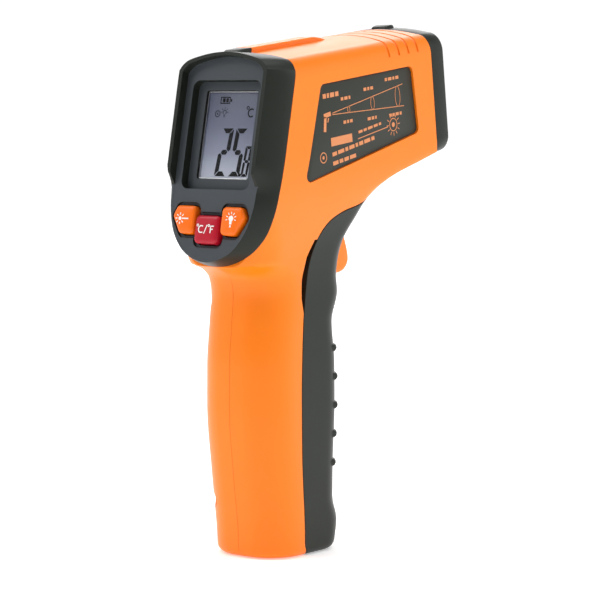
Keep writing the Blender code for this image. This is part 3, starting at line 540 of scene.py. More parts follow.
def read_table(points, at_key):
    """Values on a smooth curve through rows of (key, value...), with no overshoot."""
    keys = [p[0] for p in points]
    at_key = min(max(at_key, keys[0]), keys[-1])
    i = min(max(k for k in range(len(keys)) if keys[k] <= at_key), len(keys) - 2)
    span = keys[i + 1] - keys[i]
    t = (at_key - keys[i]) / span

    def slope(k, c):
        sides = [(points[n + 1][c] - points[n][c]) / (keys[n + 1] - keys[n])
                 for n in (k - 1, k) if 0 <= n < len(keys) - 1]
        if len(sides) == 1:
            return sides[0]
        return 0.0 if sides[0] * sides[1] <= 0 else 2 * sides[0] * sides[1] / (sides[0] + sides[1])

    result = []
    for c in range(1, len(points[0])):
        a, b, ma, mb = points[i][c], points[i + 1][c], slope(i, c) * span, slope(i + 1, c) * span
        result.append((2 * t**3 - 3 * t**2 + 1) * a + (t**3 - 2 * t**2 + t) * ma
                      + (3 * t**2 - 2 * t**3) * b + (t**3 - t**2) * mb)
    return result


# %% One cross section, and the whole form
def section(rear, front, half_width, depth, width, radius, inset, fine):
    """A closed ring from its rear point to its front point, both (y, z)."""
    start, end = Vector(rear), Vector(front)
    length = (end - start).length - 2 * inset
    direction = (end - start).normalized()
    start = start + direction * inset
    half_width -= inset
    depth, width = depth - inset * 0.6, min(width - inset * 0.6, half_width * 0.8)
    radius = min(max(radius - inset, 1.0), half_width * 0.8)
    flank = 5 * fine
    half = [(0.0, 0.0)]
    half += [(half_width - width + width * sin(a), depth - depth * cos(a)) for a in quarter(7 * fine)[1:]]
    half += [(half_width, depth + (length - radius - depth) * i / flank) for i in range(1, flank)]
    half += [(half_width - radius + radius * cos(a), length - radius + radius * sin(a))
             for a in quarter(5 * fine)]
    half.append((0.0, length))
    ring = []
    for x, t in whole(half):
        point = start + direction * t
        ring.append((x, point.x, point.y))
    return ring


def roof_half_width(height):
    low = ROOF_EDGE[1] - CORNER_DROP
    if height <= low:
        return HALF_WIDTH
    rise = min(1.0, (height - low) / CORNER_DROP)
    return ROOF_EDGE[0] + (HALF_WIDTH - ROOF_EDGE[0]) * (1 - rise**2) ** 0.5


def outer_form(name, inset=0.0, fine=FINE):
    """The outside of grip and barrel in one skin, or the same moved in by inset."""
    rings = []
    # First the rounded foot, then the grip, then closer together through the throat.
    levels = [(FOOT_RADIUS * (1 - cos(a)) + inset, FOOT_RADIUS * (1 - sin(a))) for a in quarter(3 * fine)]
    for start, end, step in ((4.2, 76.0, 3.0), (76.0, 118.01, 1.5)):
        count = int((end - start) / step * fine)
        levels += [(start + (end - start) * k / count, 0.0) for k in range(count + (end > 100))]
    for height, foot in levels:
        rear_y, front_y, front_z, half_width, depth, width = read_table(SECTIONS, height)
        radius = read_table(FRONT_RADII, height)[0]
        front = (front_y, front_z if height > FOOT_RADIUS + inset else height)
        rings.append(section((rear_y, height), front, half_width, depth, width, radius, inset + foot, fine))
    # The barrel is pitched, so its rings are too: flanks, rounded upper corners and crowned roof.
    low = ROOF_EDGE[1] - inset - CORNER_DROP
    heights = [2.0, 6.0, 10.0, 14.0, low] + [low + CORNER_DROP * sin(a) for a in quarter(5 * fine)[1:]]

    def pitched(height, *shape):
        return section(on_barrel(BARREL_REAR, height), on_barrel(BARREL_FRONT, height), *shape, inset, fine)

    rings += [pitched(height, roof_half_width(height + inset), 8, 3, 3) for height in heights]
    for k in range(1, 6 * fine + 1):
        share = max(0.02, 1 - k / (6 * fine))
        height = CROWN - inset - (CROWN - ROOF_EDGE[1]) * share**2
        half_width = (ROOF_EDGE[0] - inset) * share
        rings.append(pitched(height, half_width + inset, 1 + inset * 0.6,
                             half_width * 0.5 + inset * 0.6, half_width * 0.5 + inset))
    return lofted(name, rings)


def grip_ring(height, inset):
    """The grip's outline at one height, moved in by inset."""
    rear_y, front_y, _, half_width, depth, width = read_table(SECTIONS, height)
    return section((rear_y, height), (front_y, height), half_width, depth, width,
                   read_table(FRONT_RADII, height)[0], inset, FINE)


# %% [markdown]
# Where the battery door meets the shells, the line runs up the grip and swings forward under the
# barrel. The same line, moved by the gap, cuts both pieces. At the foot it turns about the door's
# pin, so that the door can swing.

# %% The door's line
PIN_Y, PIN_Z = -14.0, 4.2
PIN_BORE = 1.08
HEEL_RADIUS = 4.6
DOOR_LINE = (
    (-18.6, 4.2), (-18.9, 10), (-20.4, 28), (-20.9, 50), (-20.2, 68), (-18.9, 80), (-17.9, 88),
    (-15.4, 94.6), (-11.2, 99.5), (-5, 102.4), (2.5, 104.2), (7.5, 105.9), (12, 107.3),
)


def door_region(shift):
    """The space in front of the door line, moved forwards by shift."""
    heel = []
    for i in range(13):
        turn = radians(245 - 65 * i / 12)
        radius = HEEL_RADIUS - shift if shift > 0.1 else HEEL_RADIUS + 0.5 * max(0.0, 1 - i / 6)
        heel.append((PIN_Y + radius * cos(turn), PIN_Z + radius * sin(turn)))
    fine_line = curve_through(DOOR_LINE, 6)
    line = []
    for k in range(1, len(fine_line)):
        before, after = Vector(fine_line[k - 1]), Vector(fine_line[min(k + 1, len(fine_line) - 1)])
        run = (after - before).normalized()
        line.append((fine_line[k][0] + run.y * shift, fine_line[k][1] - run.x * shift))
    outline = [(heel[0][0], -5.0)] + heel + line + [(FAR, 103.0), (FAR, -5.0)]
    return side_plate("door_region", outline, FAR)


# %% [markdown]
# ## The orange shells
# The form is hollowed, given its sight ridge, and trimmed square to the display housing and to the
# muzzle ring. Four grip grooves are scored across the roof near the muzzle: each is a thin round
# bar, bowed forward at the crown, that is cut away.

# %% The body as one hollow piece
GROOVES = (42.3, 47.4, 52.3, 57.2)
RIDGE_HALF_WIDTH = 3.2
NOTCH = ((-16.6, 94.5), (-19.4, 89.5), (-20.9, 82.5), (-20.7, 77), (-19.6, 72), (-12, 72), (-12, 94.5))
WEB = ((-23, 69), (-15.5, 69), (-13, 97), (-23, 97))


def roof_groove(s):
    """A bar that follows the roof across, from one flank to the other."""
    edge = ROOF_EDGE[0]
    points = []
    for k in range(-20, 21):
        x = edge * k / 14
        if abs(k) <= 14:
            bow = (x / edge) ** 2
            across, height, ahead = x, CROWN - (CROWN - ROOF_EDGE[1]) * bow, 2.3 * (1 - bow)
        else:
            turn = radians(13 * (abs(k) - 14))
            across = copysign(edge + 5.0 * sin(turn), x)
            height, ahead = 17.5 + 6.0 * cos(turn), -2.2 * sin(turn)
        points.append((across, s + ahead, height))
    edit_all(wire("groove", points, 0.5))
    bpy.ops.mesh.remove_doubles(threshold=0.001)
    face_out()
    return put(bpy.context.object, BARREL)


def label_outline(inset):
    outline = ((5.3, 14.7), (51.4, 14.9), (52.7, -5.8), (-5.4, -13.4))
    return rounded(grown(outline, -inset), max(0.6, 2.0 - inset * 0.5))


def between(side, inner, outer):
    """Two distances from the middle, on one side, as the lower and the higher x."""
    return sorted((side * inner, side * outer))


def flank_plate(name, outline, side, inner, outer, place):
    """A side-view outline between two distances from the middle, on one side."""
    return plate(name, outline, *between(side, inner, outer), place @ SIDE)


body = outer_form("body_shell")
ridge_outline = ((-20, CROWN - 2), (-20, 26.7), (25.5, 26.7), (27, 26.6), (29.5, 26.1), (31.5, 25.5),
                 (33, CROWN - 0.4), (33, CROWN - 2))
join(body, soften(side_plate("ridge", ridge_outline, RIDGE_HALF_WIDTH, BARREL), 0.6, 3))
cut(body, outer_form("hollow", WALL, 1))
cut(body, block("rear", (-FAR, -2 * FAR, JUNCTION - 0.15), (FAR, 2 * FAR, FAR), FACE))
cut(body, block("front", (-FAR, RING_REAR - 0.15, -FAR), (FAR, 2 * FAR, FAR), BARREL))
cut(body, door_region(0.0))
cut(body, side_plate("notch", NOTCH, FAR))
for side in (-1, 1):
    join(body, flank_plate("inner_web", WEB, side, 10.6, 11.6, WORLD))
for side in (1, -1):
    cut(body, flank_plate("label_recess", label_outline(0), side, HALF_WIDTH - 1.1, FAR, BARREL))
for s in GROOVES:
    cut(body, roof_groove(s))
print("body faces:", len(body.data.polygons))

# %% [markdown]
# The halves are the same body, cut down the middle with a hair's breadth between them. The screws
# go in from the left, each down a countersunk hole.

# %% Right and left halves
SCREWS = (on_barrel(51.2, -10.4), on_barrel(4.6, 18.5), (-29.0, 16.0), (-29.0, 76.0))
LUGS = (((9.4, -25.0, 1.1), (13.1, -20.0, 8.8)), ((9.4, -22.0, 3.0), (11.6, -12.1, 8.8)))
SEAM = 0.04
for side, name in ((1, "shell_right"), (-1, "shell_left")):
    half = copied(body, name)
    low, high = (-FAR, SEAM) if side > 0 else (-SEAM, FAR)
    cut(half, block("other_side", (low, -2 * FAR, -FAR), (high, 2 * FAR, 4 * FAR)))
    for a, b in LUGS:
        low, high = between(side, a[0], b[0])
        join(half, block("lug", (low, *a[1:]), (high, *b[1:])))
    cut(half, rod("pin_hole", PIN_Y, PIN_Z, PIN_BORE, -FAR, FAR))
    if side < 0:
        for y, z in SCREWS:
            cut(half, rod("screw_hole", y, z, 2.6, -FAR, -6.0, 32))
    half.data.materials.clear()
    half.data.materials.append(ORANGE)
    smooth(half, 32)
    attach(half, "body")
bpy.data.objects.remove(body, do_unlink=True)
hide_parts("right_shell")
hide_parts("left_shell")


# %% [markdown]
# ## The battery door
# The grip's dark front is one door, hinged at the foot. It is the same outer form, kept only in
# front of the door line, so its surface runs on from the shells without a step. Five half-round
# ribs give the fingers a hold. Each fades out round the flank, before it reaches the shells.

# %% Battery door
def ride_as(piece, finish, body_name="body", angle=32):
    """Finish, smooth shading, and the body that the piece moves with."""
    piece.data.materials.clear()
    piece.data.materials.append(finish)
    smooth(piece, angle)
    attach(piece, body_name)
    return piece


def grip_front(height):
    """The y of the grip's front at a height."""
    return read_table([(row[3], row[2]) for row in SECTIONS], height)[0]


def rib(height):
    """A half-round rib round the front of the grip, which fades out on the flanks."""
    front = grip_front(height)
    rings = []
    for k in range(11):
        turn = pi * (k / 10 - 0.5)
        ring = []
        for a, b in zip(grip_ring(height, 0.35), grip_ring(height, -0.95 * cos(turn))):
            if a[1] < front - 7.5:
                continue
            share = min(1.0, max(0.0, (a[1] - front + 6.2) / 1.6))
            x, y = (a[n] + (b[n] - a[n]) * share * share * (3 - 2 * share) for n in (0, 1))
            ring.append((x, y, height + 1.15 * sin(turn)))
        rings.append(ring)
    return lofted("bead", rings)


RIBS = (61.3, 52.6, 43.9, 35.2, 26.5)
DOOR_GAP = 0.3
KNUCKLE = 8.9
door = combine(outer_form("door_cover"), "INTERSECT", [door_region(DOOR_GAP)])
for height in RIBS:
    join(door, rib(height))
cut(door, outer_form("hollow", WALL, 1))
join(door, block("web", (-KNUCKLE, PIN_Y - 1.5, 0.9), (KNUCKLE, PIN_Y + 1.5, PIN_Z)),
     rod("knuckle", PIN_Y, PIN_Z, 2.4, -KNUCKLE, KNUCKLE, 32))
cut(door, block("trigger_slot", (-5.7, -12, 80.5), (5.7, FAR, 130)),
    rod("bore", PIN_Y, PIN_Z, PIN_BORE, -9.5, 9.5))
for low in (9.0, -12.0):
    cut(door, block("lug_notch", (low, -FAR, -1), (low + 3.0, PIN_Y + 2.6, PIN_Z)))
ride_as(door, DARK, "door")
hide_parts("battery_door")
print("door faces:", len(door.data.polygons))

# %% [markdown]
# ## The display housing
# One dark moulding: a flank that narrows from the body's outline to a raised hood, a plate that the
# keys stand in, and a chin. Its two outlines are drawn once, as right halves, and the flank is
# lofted between them with a slight bow.

# %% Housing outlines
JUNCTION_HALF = (
    (0, 24.8), (5.3, 24.6), (10.6, 24.1), (15.8, 23.1), (18.2, 22.1), (20, 20.2), (20.8, 17.4),
    (20.8, 5), (20.8, -6), (20.5, -14), (19.8, -21.5), (18, -27.8), (15.6, -31.6), (12.4, -34.6),
    (8.3, -36.9), (4.2, -38.2), (0, -38.6),
)
FRONT_HALF = (
    (0, 23.2), (4.3, 22.9), (8.4, 22.1), (12.6, 20.9), (14.6, 19.6), (15.7, 18.2), (16, 16.6),
    (16, 5), (16, -6), (16, -14), (15.7, -21.5), (14.1, -27.8), (11.9, -31.8), (9.4, -34.6),
    (6.4, -36.5), (3.2, -37.6), (0, -38),
)
PLATE, RIM, HOUSING_DEPTH, CHIN_DEPTH, HOOD_WALL = 3.1, 5.9, 8.9, 5.1, 0.75
BUTTONS = {
    "button_laser": ((-5, -21.7), (-12, -21.7), (-13.5, -24.8), (-10.3, -30), (-5, -30)),
    "button_unit": ((-4.4, -24.4), (-4.4, -32.7), (4.4, -32.7), (4.4, -24.4)),
    "button_backlight": ((5, -21.7), (5, -30), (10.3, -30), (13.5, -24.8), (12, -21.7)),
}


def inside(half, by):
    """The outline moved inwards: its corners move first, and the curve runs through them."""
    return curve_through(grown(whole(half), -by), 2 * FINE, closed=True)


OUTER_LINES = [curve_through(whole(half), 2 * FINE, closed=True) for half in (JUNCTION_HALF, FRONT_HALF)]


def housing_ring(w):
    ring = []
    for (u0, v0), (u1, v1) in zip(*OUTER_LINES):
        share = min(1.0, max(0.0, (-10.0 - v0) / 7.0))
        depth = HOUSING_DEPTH + (CHIN_DEPTH - HOUSING_DEPTH) * share * share * (3 - 2 * share)
        along = min(1.2, ((w - JUNCTION) / depth) ** 1.25)
        ring.append((u0 + (u1 - u0) * along, v0 + (v1 - v0) * along, w))
    return ring


# %% Housing: loft, hood, recess, window and key holes
levels = [JUNCTION + (RIM + 0.4 - JUNCTION) * k / (8 * FINE) for k in range(8 * FINE + 1)]
housing = lofted("housing", [housing_ring(w) for w in levels], FACE)
tail_outline = ((0, CROWN - 2), (-13, CROWN - 2), (-13, CROWN - 0.8), (-8.5, 26.6), (0, 26.7))
sight_tail = soften(side_plate("sight_tail", tail_outline, RIDGE_HALF_WIDTH, BARREL), 0.6, 3)
join(housing, cut(sight_tail, block("front", (-FAR, -FAR, -FAR), (FAR, FAR, JUNCTION), FACE)))
edge = PLATE + 0.03
rim_corners = ((-FAR, edge), (-15.5, edge), (-12.3, RIM), (FAR, RIM), (FAR, RIM + 9), (-FAR, RIM + 9))
cut(housing, side_plate("above", rim_corners, FAR, FACE))
cut(housing, plate("hood", inside(FRONT_HALF, HOOD_WALL), PLATE, RIM + 2, FACE))
cut(housing, plate("recess", rounded(rectangle(25.6, 32.2, 0, -0.5), 2.4), 0.3, RIM, FACE),
    plate("window", rounded(rectangle(19.4, 26.3), 0.8), -FAR, RIM, FACE),
    plate("hollow", inside(JUNCTION_HALF, 2.4), JUNCTION - 1, JUNCTION + 0.9, FACE))
bay = plate("bay", inside(JUNCTION_HALF, 4.0), JUNCTION - 1, PLATE - WALL, FACE)
cut(housing, cut(bay, block("upper", (-FAR, -18.6, -FAR), (FAR, FAR, FAR), FACE)))
for outline in BUTTONS.values():
    cut(housing, plate("hole", rounded(grown(outline, 0.35), 1.75), -FAR, FAR, FACE),
        plate("pocket", rounded(grown(outline, 1.1), 2.2), PLATE - 0.9, FAR, FACE))
ride_as(housing, DARK)
# Painted light: the plate's faces that look straight out take the lighter grey, a lit copy of the dark one.
housing.data.materials.append(LIT_FACE_GREY)
out = (FACE.to_3x3() @ Vector((0, 0, 1))).normalized()
back_to_face = (TO_METRES @ FACE).inverted()
for face in housing.data.polygons:
    if face.normal.dot(out) > 0.95 and (back_to_face @ face.center).z < PLATE + 0.2:
        face.material_index = 1
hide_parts("display_housing")
print("housing faces:", len(housing.data.polygons))

# %% [markdown]
# ## The display
# Under a clear pane lies the liquid crystal. Its digits are drawn in the usual seven segments,
# slightly slanted, as thin black plates on the grey: a reading in large figures, the tenth in a
# small one, the unit, a cell symbol and a lamp symbol.

# %% Flat marks: bars, discs, rings, rays
def bar(x0, y0, x1, y1, width):
    run = Vector((x1 - x0, y1 - y0)).normalized() * (width / 2)
    return [(x0 - run.y, y0 + run.x), (x0 + run.y, y0 - run.x), (x1 + run.y, y1 - run.x),
            (x1 - run.y, y1 + run.x)]


def disc(x, y, radius, sides=20):
    turns = [2 * pi * k / sides for k in range(sides)]
    return [(x + radius * cos(a), y + radius * sin(a)) for a in turns]


def arc(x, y, radius, start, end, width, steps=14):
    """A curved stroke as a row of short bars, angles in degrees."""
    inner, outer = radius - width / 2, radius + width / 2
    marks = []
    for k in range(steps):
        a, b = (radians(start + (end - start) * n / steps) for n in (k, k + 1))
        corners = ((inner, a), (outer, a), (outer, b), (inner, b))
        marks.append([(x + r * cos(turn), y + r * sin(turn)) for r, turn in corners])
    return marks


def rays(x, y, near, far, width, first, step, count):
    """Short strokes round a centre, angles in degrees."""
    turns = [radians(first + step * k) for k in range(count)]
    return [bar(x + near * cos(a), y + near * sin(a), x + far * cos(a), y + far * sin(a), width)
            for a in turns]


def printed(name, marks, low, high, finish, place, body_name="body"):
    """Ink: every mark is a flat face in one mesh, and all are given their thickness at once."""
    piece = slabs(name, marks, low, high, place)
    piece.data.materials.clear()
    piece.data.materials.append(finish)
    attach(piece, body_name)
    return piece


# %% Seven-segment figures
SEGMENTS = {"2": "abged", "5": "afgcd", "8": "abcdefg"}
SLANT = 0.09
BASELINE = -12.1


def digit(figure, x, width, height, stroke):
    """One figure, x at its lower left corner; the segments' ends are cut at 45 degrees."""
    half, mid, gap = stroke / 2, height / 2, stroke * 0.16
    top = [(gap, height), (width - gap, height), (width - stroke, height - stroke), (stroke, height - stroke)]
    left = [(0, height - gap), (stroke, height - stroke - gap), (stroke, mid + half + gap),
            (half, mid + gap), (0, mid + half)]
    right = [(width - px, py) for px, py in left]
    middle = [(half + gap, mid), (stroke, mid + half), (width - stroke, mid + half),
              (width - half - gap, mid), (width - stroke, mid - half), (stroke, mid - half)]
    shapes = {"a": top, "b": right, "f": left, "g": middle}
    for upper, lower in ("ad", "bc", "fe"):
        shapes[lower] = [(px, height - py) for px, py in shapes[upper]]
    return [[(x + px + SLANT * py, BASELINE + py) for px, py in shapes[s]] for s in SEGMENTS[figure]]


GLASS_TOP = -0.85
picture = digit("2", -4.1, 4.3, 14.2, 1.45) + digit("5", 1.1, 4.3, 14.2, 1.45)
picture += digit("8", 5.9, 2.5, 9.0, 0.85) + [disc(5.5, -11.6, 0.5, 12)]
# degree sign and C
picture += arc(5.7, 8.2, 0.42, 0, 360, 0.28) + arc(7.1, 6.7, 1.15, 50, 310, 0.42)
# cell symbol: outline, nub and two bars
picture += [bar(*ends, width) for *ends, width in (
    (-5.0, 11.3, -1.4, 11.3, 0.3), (-5.0, 9.5, -1.4, 9.5, 0.3), (-4.9, 9.4, -4.9, 11.4, 0.3),
    (-1.5, 9.4, -1.5, 11.4, 0.3), (-1.2, 10.4, -0.7, 10.4, 0.8), (-4.2, 10.4, -3.2, 10.4, 1.2),
    (-2.9, 10.4, -2.0, 10.4, 1.2))]
# target symbol and lamp symbol
picture += arc(-5.6, 6.4, 0.9, 0, 360, 0.24) + [disc(-5.6, 6.4, 0.3, 10)]
picture += arc(-3.0, 6.9, 0.6, -50, 230, 0.24)
picture += [bar(-3.3, 6.0, -2.7, 6.0, 0.3), bar(-3.2, 5.5, -2.8, 5.5, 0.25)]
picture += rays(-3.0, 6.9, 1.0, 1.5, 0.22, 0, 45, 5)
printed("lcd_figures", picture, GLASS_TOP, GLASS_TOP + 0.03, LCD_BLACK, FACE)
print("marks on the display:", len(picture))

# %% [markdown]
# The crystal itself is a plain glass plate, held in a thin silver bezel that catches the light just
# inside the housing's window. The clear pane is a rounded plate with a soft edge.

# %% Crystal, bezel and pane
crystal = soften(plate("crystal", rectangle(21.4, 28.6), -3.6, GLASS_TOP, FACE), 0.2, angle=30)
ride_as(crystal, LCD)
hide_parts("lcd_panel")
bezel = plate("bezel", rounded(rectangle(19.3, 26.2), 0.7), GLASS_TOP + 0.01, -0.35, FACE)
cut(bezel, plate("opening", rounded(rectangle(18.5, 25.4), 0.4), -2, 2, FACE))
ride_as(soften(bezel, 0.08), STEEL)
pane = soften(plate("pane", rounded(rectangle(19.2, 26.1), 0.6), -0.33, -0.05, FACE), 0.08)
ride_as(pane, PANE)
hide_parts("display_window")
print("display pieces placed")

# %% [markdown]
# ## The keys
# Each key is an outline with rounded corners that is lofted up to a softly domed top. The dome is
# what gives a key its bright spot. Printed on top are a beam symbol, the two temperature units and
# a lamp symbol, in white.

# %% Keys
TOP = PLATE + 1.6
EDGE = 0.9


def key(name, finish, slot, body_name):
    """A key of the table above, in its hole; returns the middle of its outline."""
    outline = BUTTONS[name]
    middle = centre_of(outline)
    # The unit key fills its hole a little more than the outer two.
    skirt = -0.1 if name == "button_unit" else 0.1
    shoulder = TOP - 1.1
    steps = [(skirt, -0.8), (skirt, 0.2), (0.0, 0.2), (0.0, shoulder)]
    steps += [(EDGE * (1 - cos(radians(a))), shoulder + EDGE * sin(radians(a))) for a in (18, 36, 54, 72)]
    rings = []
    for inset, w in steps:
        rings.append([(x, y, w) for x, y in rounded(grown(outline, -inset), 1.4 - inset * 0.4)])
    rim = rings[-1]
    for share in (0.85, 0.6, 0.35, 0.12):
        rings.append([(middle.x + (x - middle.x) * share, middle.y + (y - middle.y) * share,
                       w + (TOP - w) * (1 - share**2)) for x, y, w in rim])
    made = lofted(name + "_cap", rings, FACE)
    join(made, turned("stem", ((1.6, -2.1), (1.6, 0.0)), FACE @ Matrix.Translation((*middle, 0)), 24))
    ride_as(made, finish, body_name, 40)
    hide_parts(name)
    return middle


def on_key(name, marks, body_name):
    printed(name, marks, TOP - 0.02, TOP + 0.03, WHITE_INK, FACE, body_name)


x, y = key("button_laser", KEY_ORANGE, "orange_key", "laser_key")
x += 0.2
beam = [disc(x - 1.2, y, 0.55), bar(x - 0.4, y, x + 2.0, y, 0.4)] + rays(x - 1.2, y, 1.0, 1.7, 0.3, 45, 45, 7)
on_key("beam_symbol", beam, "laser_key")
x, y = key("button_backlight", KEY_ORANGE, "orange_key", "backlight_key")
x -= 0.1
lamp = [disc(x, y + 0.5, 0.85), bar(x, y - 0.2, x, y - 1.2, 0.9), bar(x, y - 1.45, x, y - 2.1, 0.5)]
on_key("lamp_symbol", lamp + rays(x, y + 0.5, 1.3, 1.95, 0.26, -15, 35, 7), "backlight_key")
x, y = key("button_unit", RED, "red_key", "unit_key")
units = arc(x - 3.0, y + 1.1, 0.32, 0, 360, 0.24, 10) + arc(x - 1.6, y, 1.0, 55, 305, 0.36)
units += [bar(x - 0.5, y - 1.3, x + 0.5, y + 1.3, 0.3)] + arc(x + 1.15, y + 1.1, 0.32, 0, 360, 0.24, 10)
units += [bar(x + 1.9, y - 1.1, x + 1.9, y + 1.1, 0.36), bar(x + 1.8, y + 0.95, x + 3.1, y + 0.95, 0.34),
          bar(x + 1.8, y + 0.05, x + 2.8, y + 0.05, 0.32)]
on_key("unit_symbols", units, "unit_key")
print("keys placed")

# %% [markdown]
# ## The muzzle
# A dark ring caps the barrel and carries the front sight. Inside it a plate flares down to the
# infrared lens, with the laser's small window above.

# %% Ring, front plate, lens
def barrel_ring(inset, s, floor_radius=5.0):
    """Cross section of the barrel at s along it, moved in by inset."""
    edge_x, edge_h = ROOF_EDGE
    low, floor = edge_h - CORNER_DROP, BARREL_FLOOR + inset
    half = [(0.0, CROWN - inset)]
    for k in range(1, 6 * FINE + 1):
        share = k / (6 * FINE)
        half.append(((edge_x - inset * 0.6) * share, CROWN - inset - (CROWN - edge_h) * share**2))
    half += [(edge_x - inset * 0.6 + (HALF_WIDTH - edge_x - inset * 0.4) * sin(a),
              low + (CORNER_DROP - inset) * cos(a)) for a in quarter(5 * FINE)[1:]]
    half += [(HALF_WIDTH - inset - floor_radius + floor_radius * cos(a),
              floor + floor_radius - floor_radius * sin(a)) for a in quarter(6 * FINE)]
    return [(x, s, h) for x, h in whole(half + [(0.0, floor)])]


def barrel_plug(name, inset, start, end, floor_radius):
    return lofted(name, [barrel_ring(inset, RING_REAR + s, floor_radius) for s in (start, end)], BARREL)


ROUND = 1.3
rings = [barrel_ring(inset, RING_REAR + s) for inset, s in ((0.25, 0.0), (0.07, 0.07), (0.0, 0.25))]
rings += [barrel_ring(ROUND * (1 - cos(a)), RING_FRONT - ROUND + ROUND * sin(a)) for a in quarter(6)]
ring = lofted("muzzle_cap", rings, BARREL)
cut(ring, barrel_plug("opening", 2.6, -1, RING_FRONT + 1 - RING_REAR, 3.5))
bump = ((63.6, 24.2), (63.9, 25.5), (65.2, 26.0), (67.2, 26.1), (68.0, 25.4), (68.0, 24.2))
join(ring, soften(side_plate("sight", curve_through(bump, 4), 2.9, BARREL), 0.3))
ride_as(ring, DARK)
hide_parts("muzzle_ring")

LENS_HEIGHT, LASER_HEIGHT = 1.5, 16.6
lens_place = at(0, RING_REAR, LENS_HEIGHT, "Y", BARREL)
front = barrel_plug("front_plate", 2.9, 1.2, 4.2, 3.2)
sleeve = turned("sleeve", ((11.2, -6.0), (11.2, 2.0)), lens_place, 96)
join(front, combine(sleeve, "INTERSECT", [barrel_plug("limit", 2.9, -7, 3, 3.2)]))
flare = [(5.4, -7.0), (5.4, -4.6)]
flare += [(5.4 + 4.2 * (k / 8) ** 1.15, -4.6 + 8.6 * k / 8) for k in range(1, 9)]
flare += [(10.6, 4.35), (10.6, 6.0)]
cut(front, turned("flare", flare, lens_place, 96),
    turned("seat", ((6.3, -7.0), (6.3, -4.9)), lens_place, 96))
laser_place = at(0, RING_REAR, LASER_HEIGHT, "Y", BARREL)
cut(front, turned("laser_hole", ((2.2, -2.0), (2.2, 3.7), (2.9, 4.4), (2.9, 6.0)), laser_place, 48))
ride_as(front, DARK)
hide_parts("front_face")
dome = [(6.0, -6.6), (6.0, -5.6)]
dome += [(6.0 * cos(radians(a)), -5.6 + 1.1 * sin(radians(a))) for a in (15, 30, 45, 60, 75)]
lens = turned("lens_dome", dome + [(0.2, -4.5)], lens_place, 96)
ride_as(lens, LENS, angle=60)
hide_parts("ir_lens")
print("muzzle pieces placed")

# %% [markdown]
# ## The trigger
# A teardrop in side view: the finger rests in the hollow above its swollen tip. The outline is a
# smooth curve through a few points, and the bevel rounds its edges for the finger.

# %% Trigger
outline = ((-5.4, 114), (-5.2, 107), (-3.4, 99), (0.8, 88), (4.6, 83.6), (8, 82.5), (12.6, 82.6),
           (15.4, 84.2), (16.4, 87), (15.4, 91), (13.2, 96), (10.4, 101.5), (7.2, 104.6), (3.4, 108),
           (1.2, 115), (-2, 116.4))
trigger = soften(side_plate("trigger_lever", curve_through(outline, 4, closed=True), 4.8), 1.6, 5)
cut(trigger, rod("bore", -2.0, 113.0, 1.33, -FAR, FAR, 32))
ride_as(trigger, ORANGE, "trigger", 40)
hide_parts("trigger")
print("trigger faces:", len(trigger.data.polygons))

# %% [markdown]
# ## The side labels
# A dark film lies in the recess on each flank. Its print is a generic diagram in light orange: the
# measuring spot grows with distance, with rows of plain bars where a maker's words would be.

# %% Labels
def word_bars(x, y, lengths, height, gap, slope=0.0):
    """A row of plain bars, as long as words would be."""
    start = x
    marks = []
    for length in lengths:
        marks.append(bar(x, y + slope * (x - start), x + length, y + slope * (x + length - start), height))
        x += length + gap
    return marks


def label_print():
    """Marks in the label's own plane: x along the barrel, y up."""
    # A small side view of a pistol thermometer, then the cone of its view.
    marks = [bar(6.2, 5.2, 9.6, 5.6, 1.3), bar(6.9, 4.9, 6.2, 0.6, 1.2), bar(8.4, 4.4, 7.9, 3.2, 0.4),
             bar(10.4, 5.6, 46.5, 9.9, 0.22), bar(10.4, 5.2, 46.5, 3.2, 0.22)]
    for x, wide in ((18.5, 0.55), (30.5, 0.9), (43.5, 1.25)):
        share = (x - 10.4) / 36.1
        low, high = 5.2 - 2.0 * share, 5.6 + 4.3 * share
        tall = (high - low) / 2
        turns = [2 * pi * k / 20 for k in range(21)]
        ring = [(x + wide * cos(a), (low + high) / 2 + tall * sin(a)) for a in turns]
        marks += [bar(*a, *b, 0.18) for a, b in zip(ring, ring[1:])]
    # A heading, then rows of bars: distances above the cone, spot sizes under it.
    marks += word_bars(6.4, 11.0, (1.5, 1.0, 2.0, 1.6), 1.35, 0.5)
    for x, y, lengths in ((15.0, 9.2, (1.2, 1.6, 0.9)), (26.5, 10.6, (1.4, 1.0, 1.4)),
                          (37.5, 12.2, (1.2, 1.8, 1.0, 1.6)), (15.5, 2.2, (1.3, 0.9, 1.3)),
                          (27.5, 1.6, (1.6, 1.2, 0.8)), (38.5, 1.2, (1.4, 1.0, 1.6, 1.0))):
        marks += word_bars(x, y, lengths, 0.95, 0.5)
    # A filled panel, a target with a beam, and lines of bars beside and under them.
    marks += [rectangle(10.4, 2.5, 14.0, -2.8), bar(22.0, -3.6, 37.5, -2.1, 0.25)]
    marks += arc(40.3, -1.8, 1.9, 0, 360, 0.25, 24) + [disc(40.3, -1.8, 0.75)]
    marks += rays(40.3, -1.8, 2.4, 3.4, 0.25, 0, 30, 12)
    marks += word_bars(22.5, -1.7, (2.0, 1.6, 2.4, 2.0, 1.2), 0.8, 0.6, 0.10)
    marks += word_bars(9.0, -6.5, (2.2, 3.0, 1.4, 2.6, 1.2, 2.0, 3.0, 1.6), 1.15, 0.6, 0.10)
    marks += word_bars(9.0, -9.2, (2.6, 1.8, 2.2, 3.0), 1.15, 0.6, 0.08)
    return marks + arc(4.6, -6.8, 1.5, 0, 360, 0.28, 20) + [disc(4.6, -6.8, 0.5)]


def turned_round(marks):
    """The print for the left: seen from there the barrel points the other way."""
    kept = []
    for mark in [[(49.0 - x, y) for x, y in mark] for mark in marks]:
        right, low = max(x for x, y in mark), min(y for x, y in mark)
        # Marks that would run over the film's edge are left out.
        if right < 47.5 and low > -5.4 - 0.125 * (50 - right) + 0.3:
            kept.append(mark)
    return kept


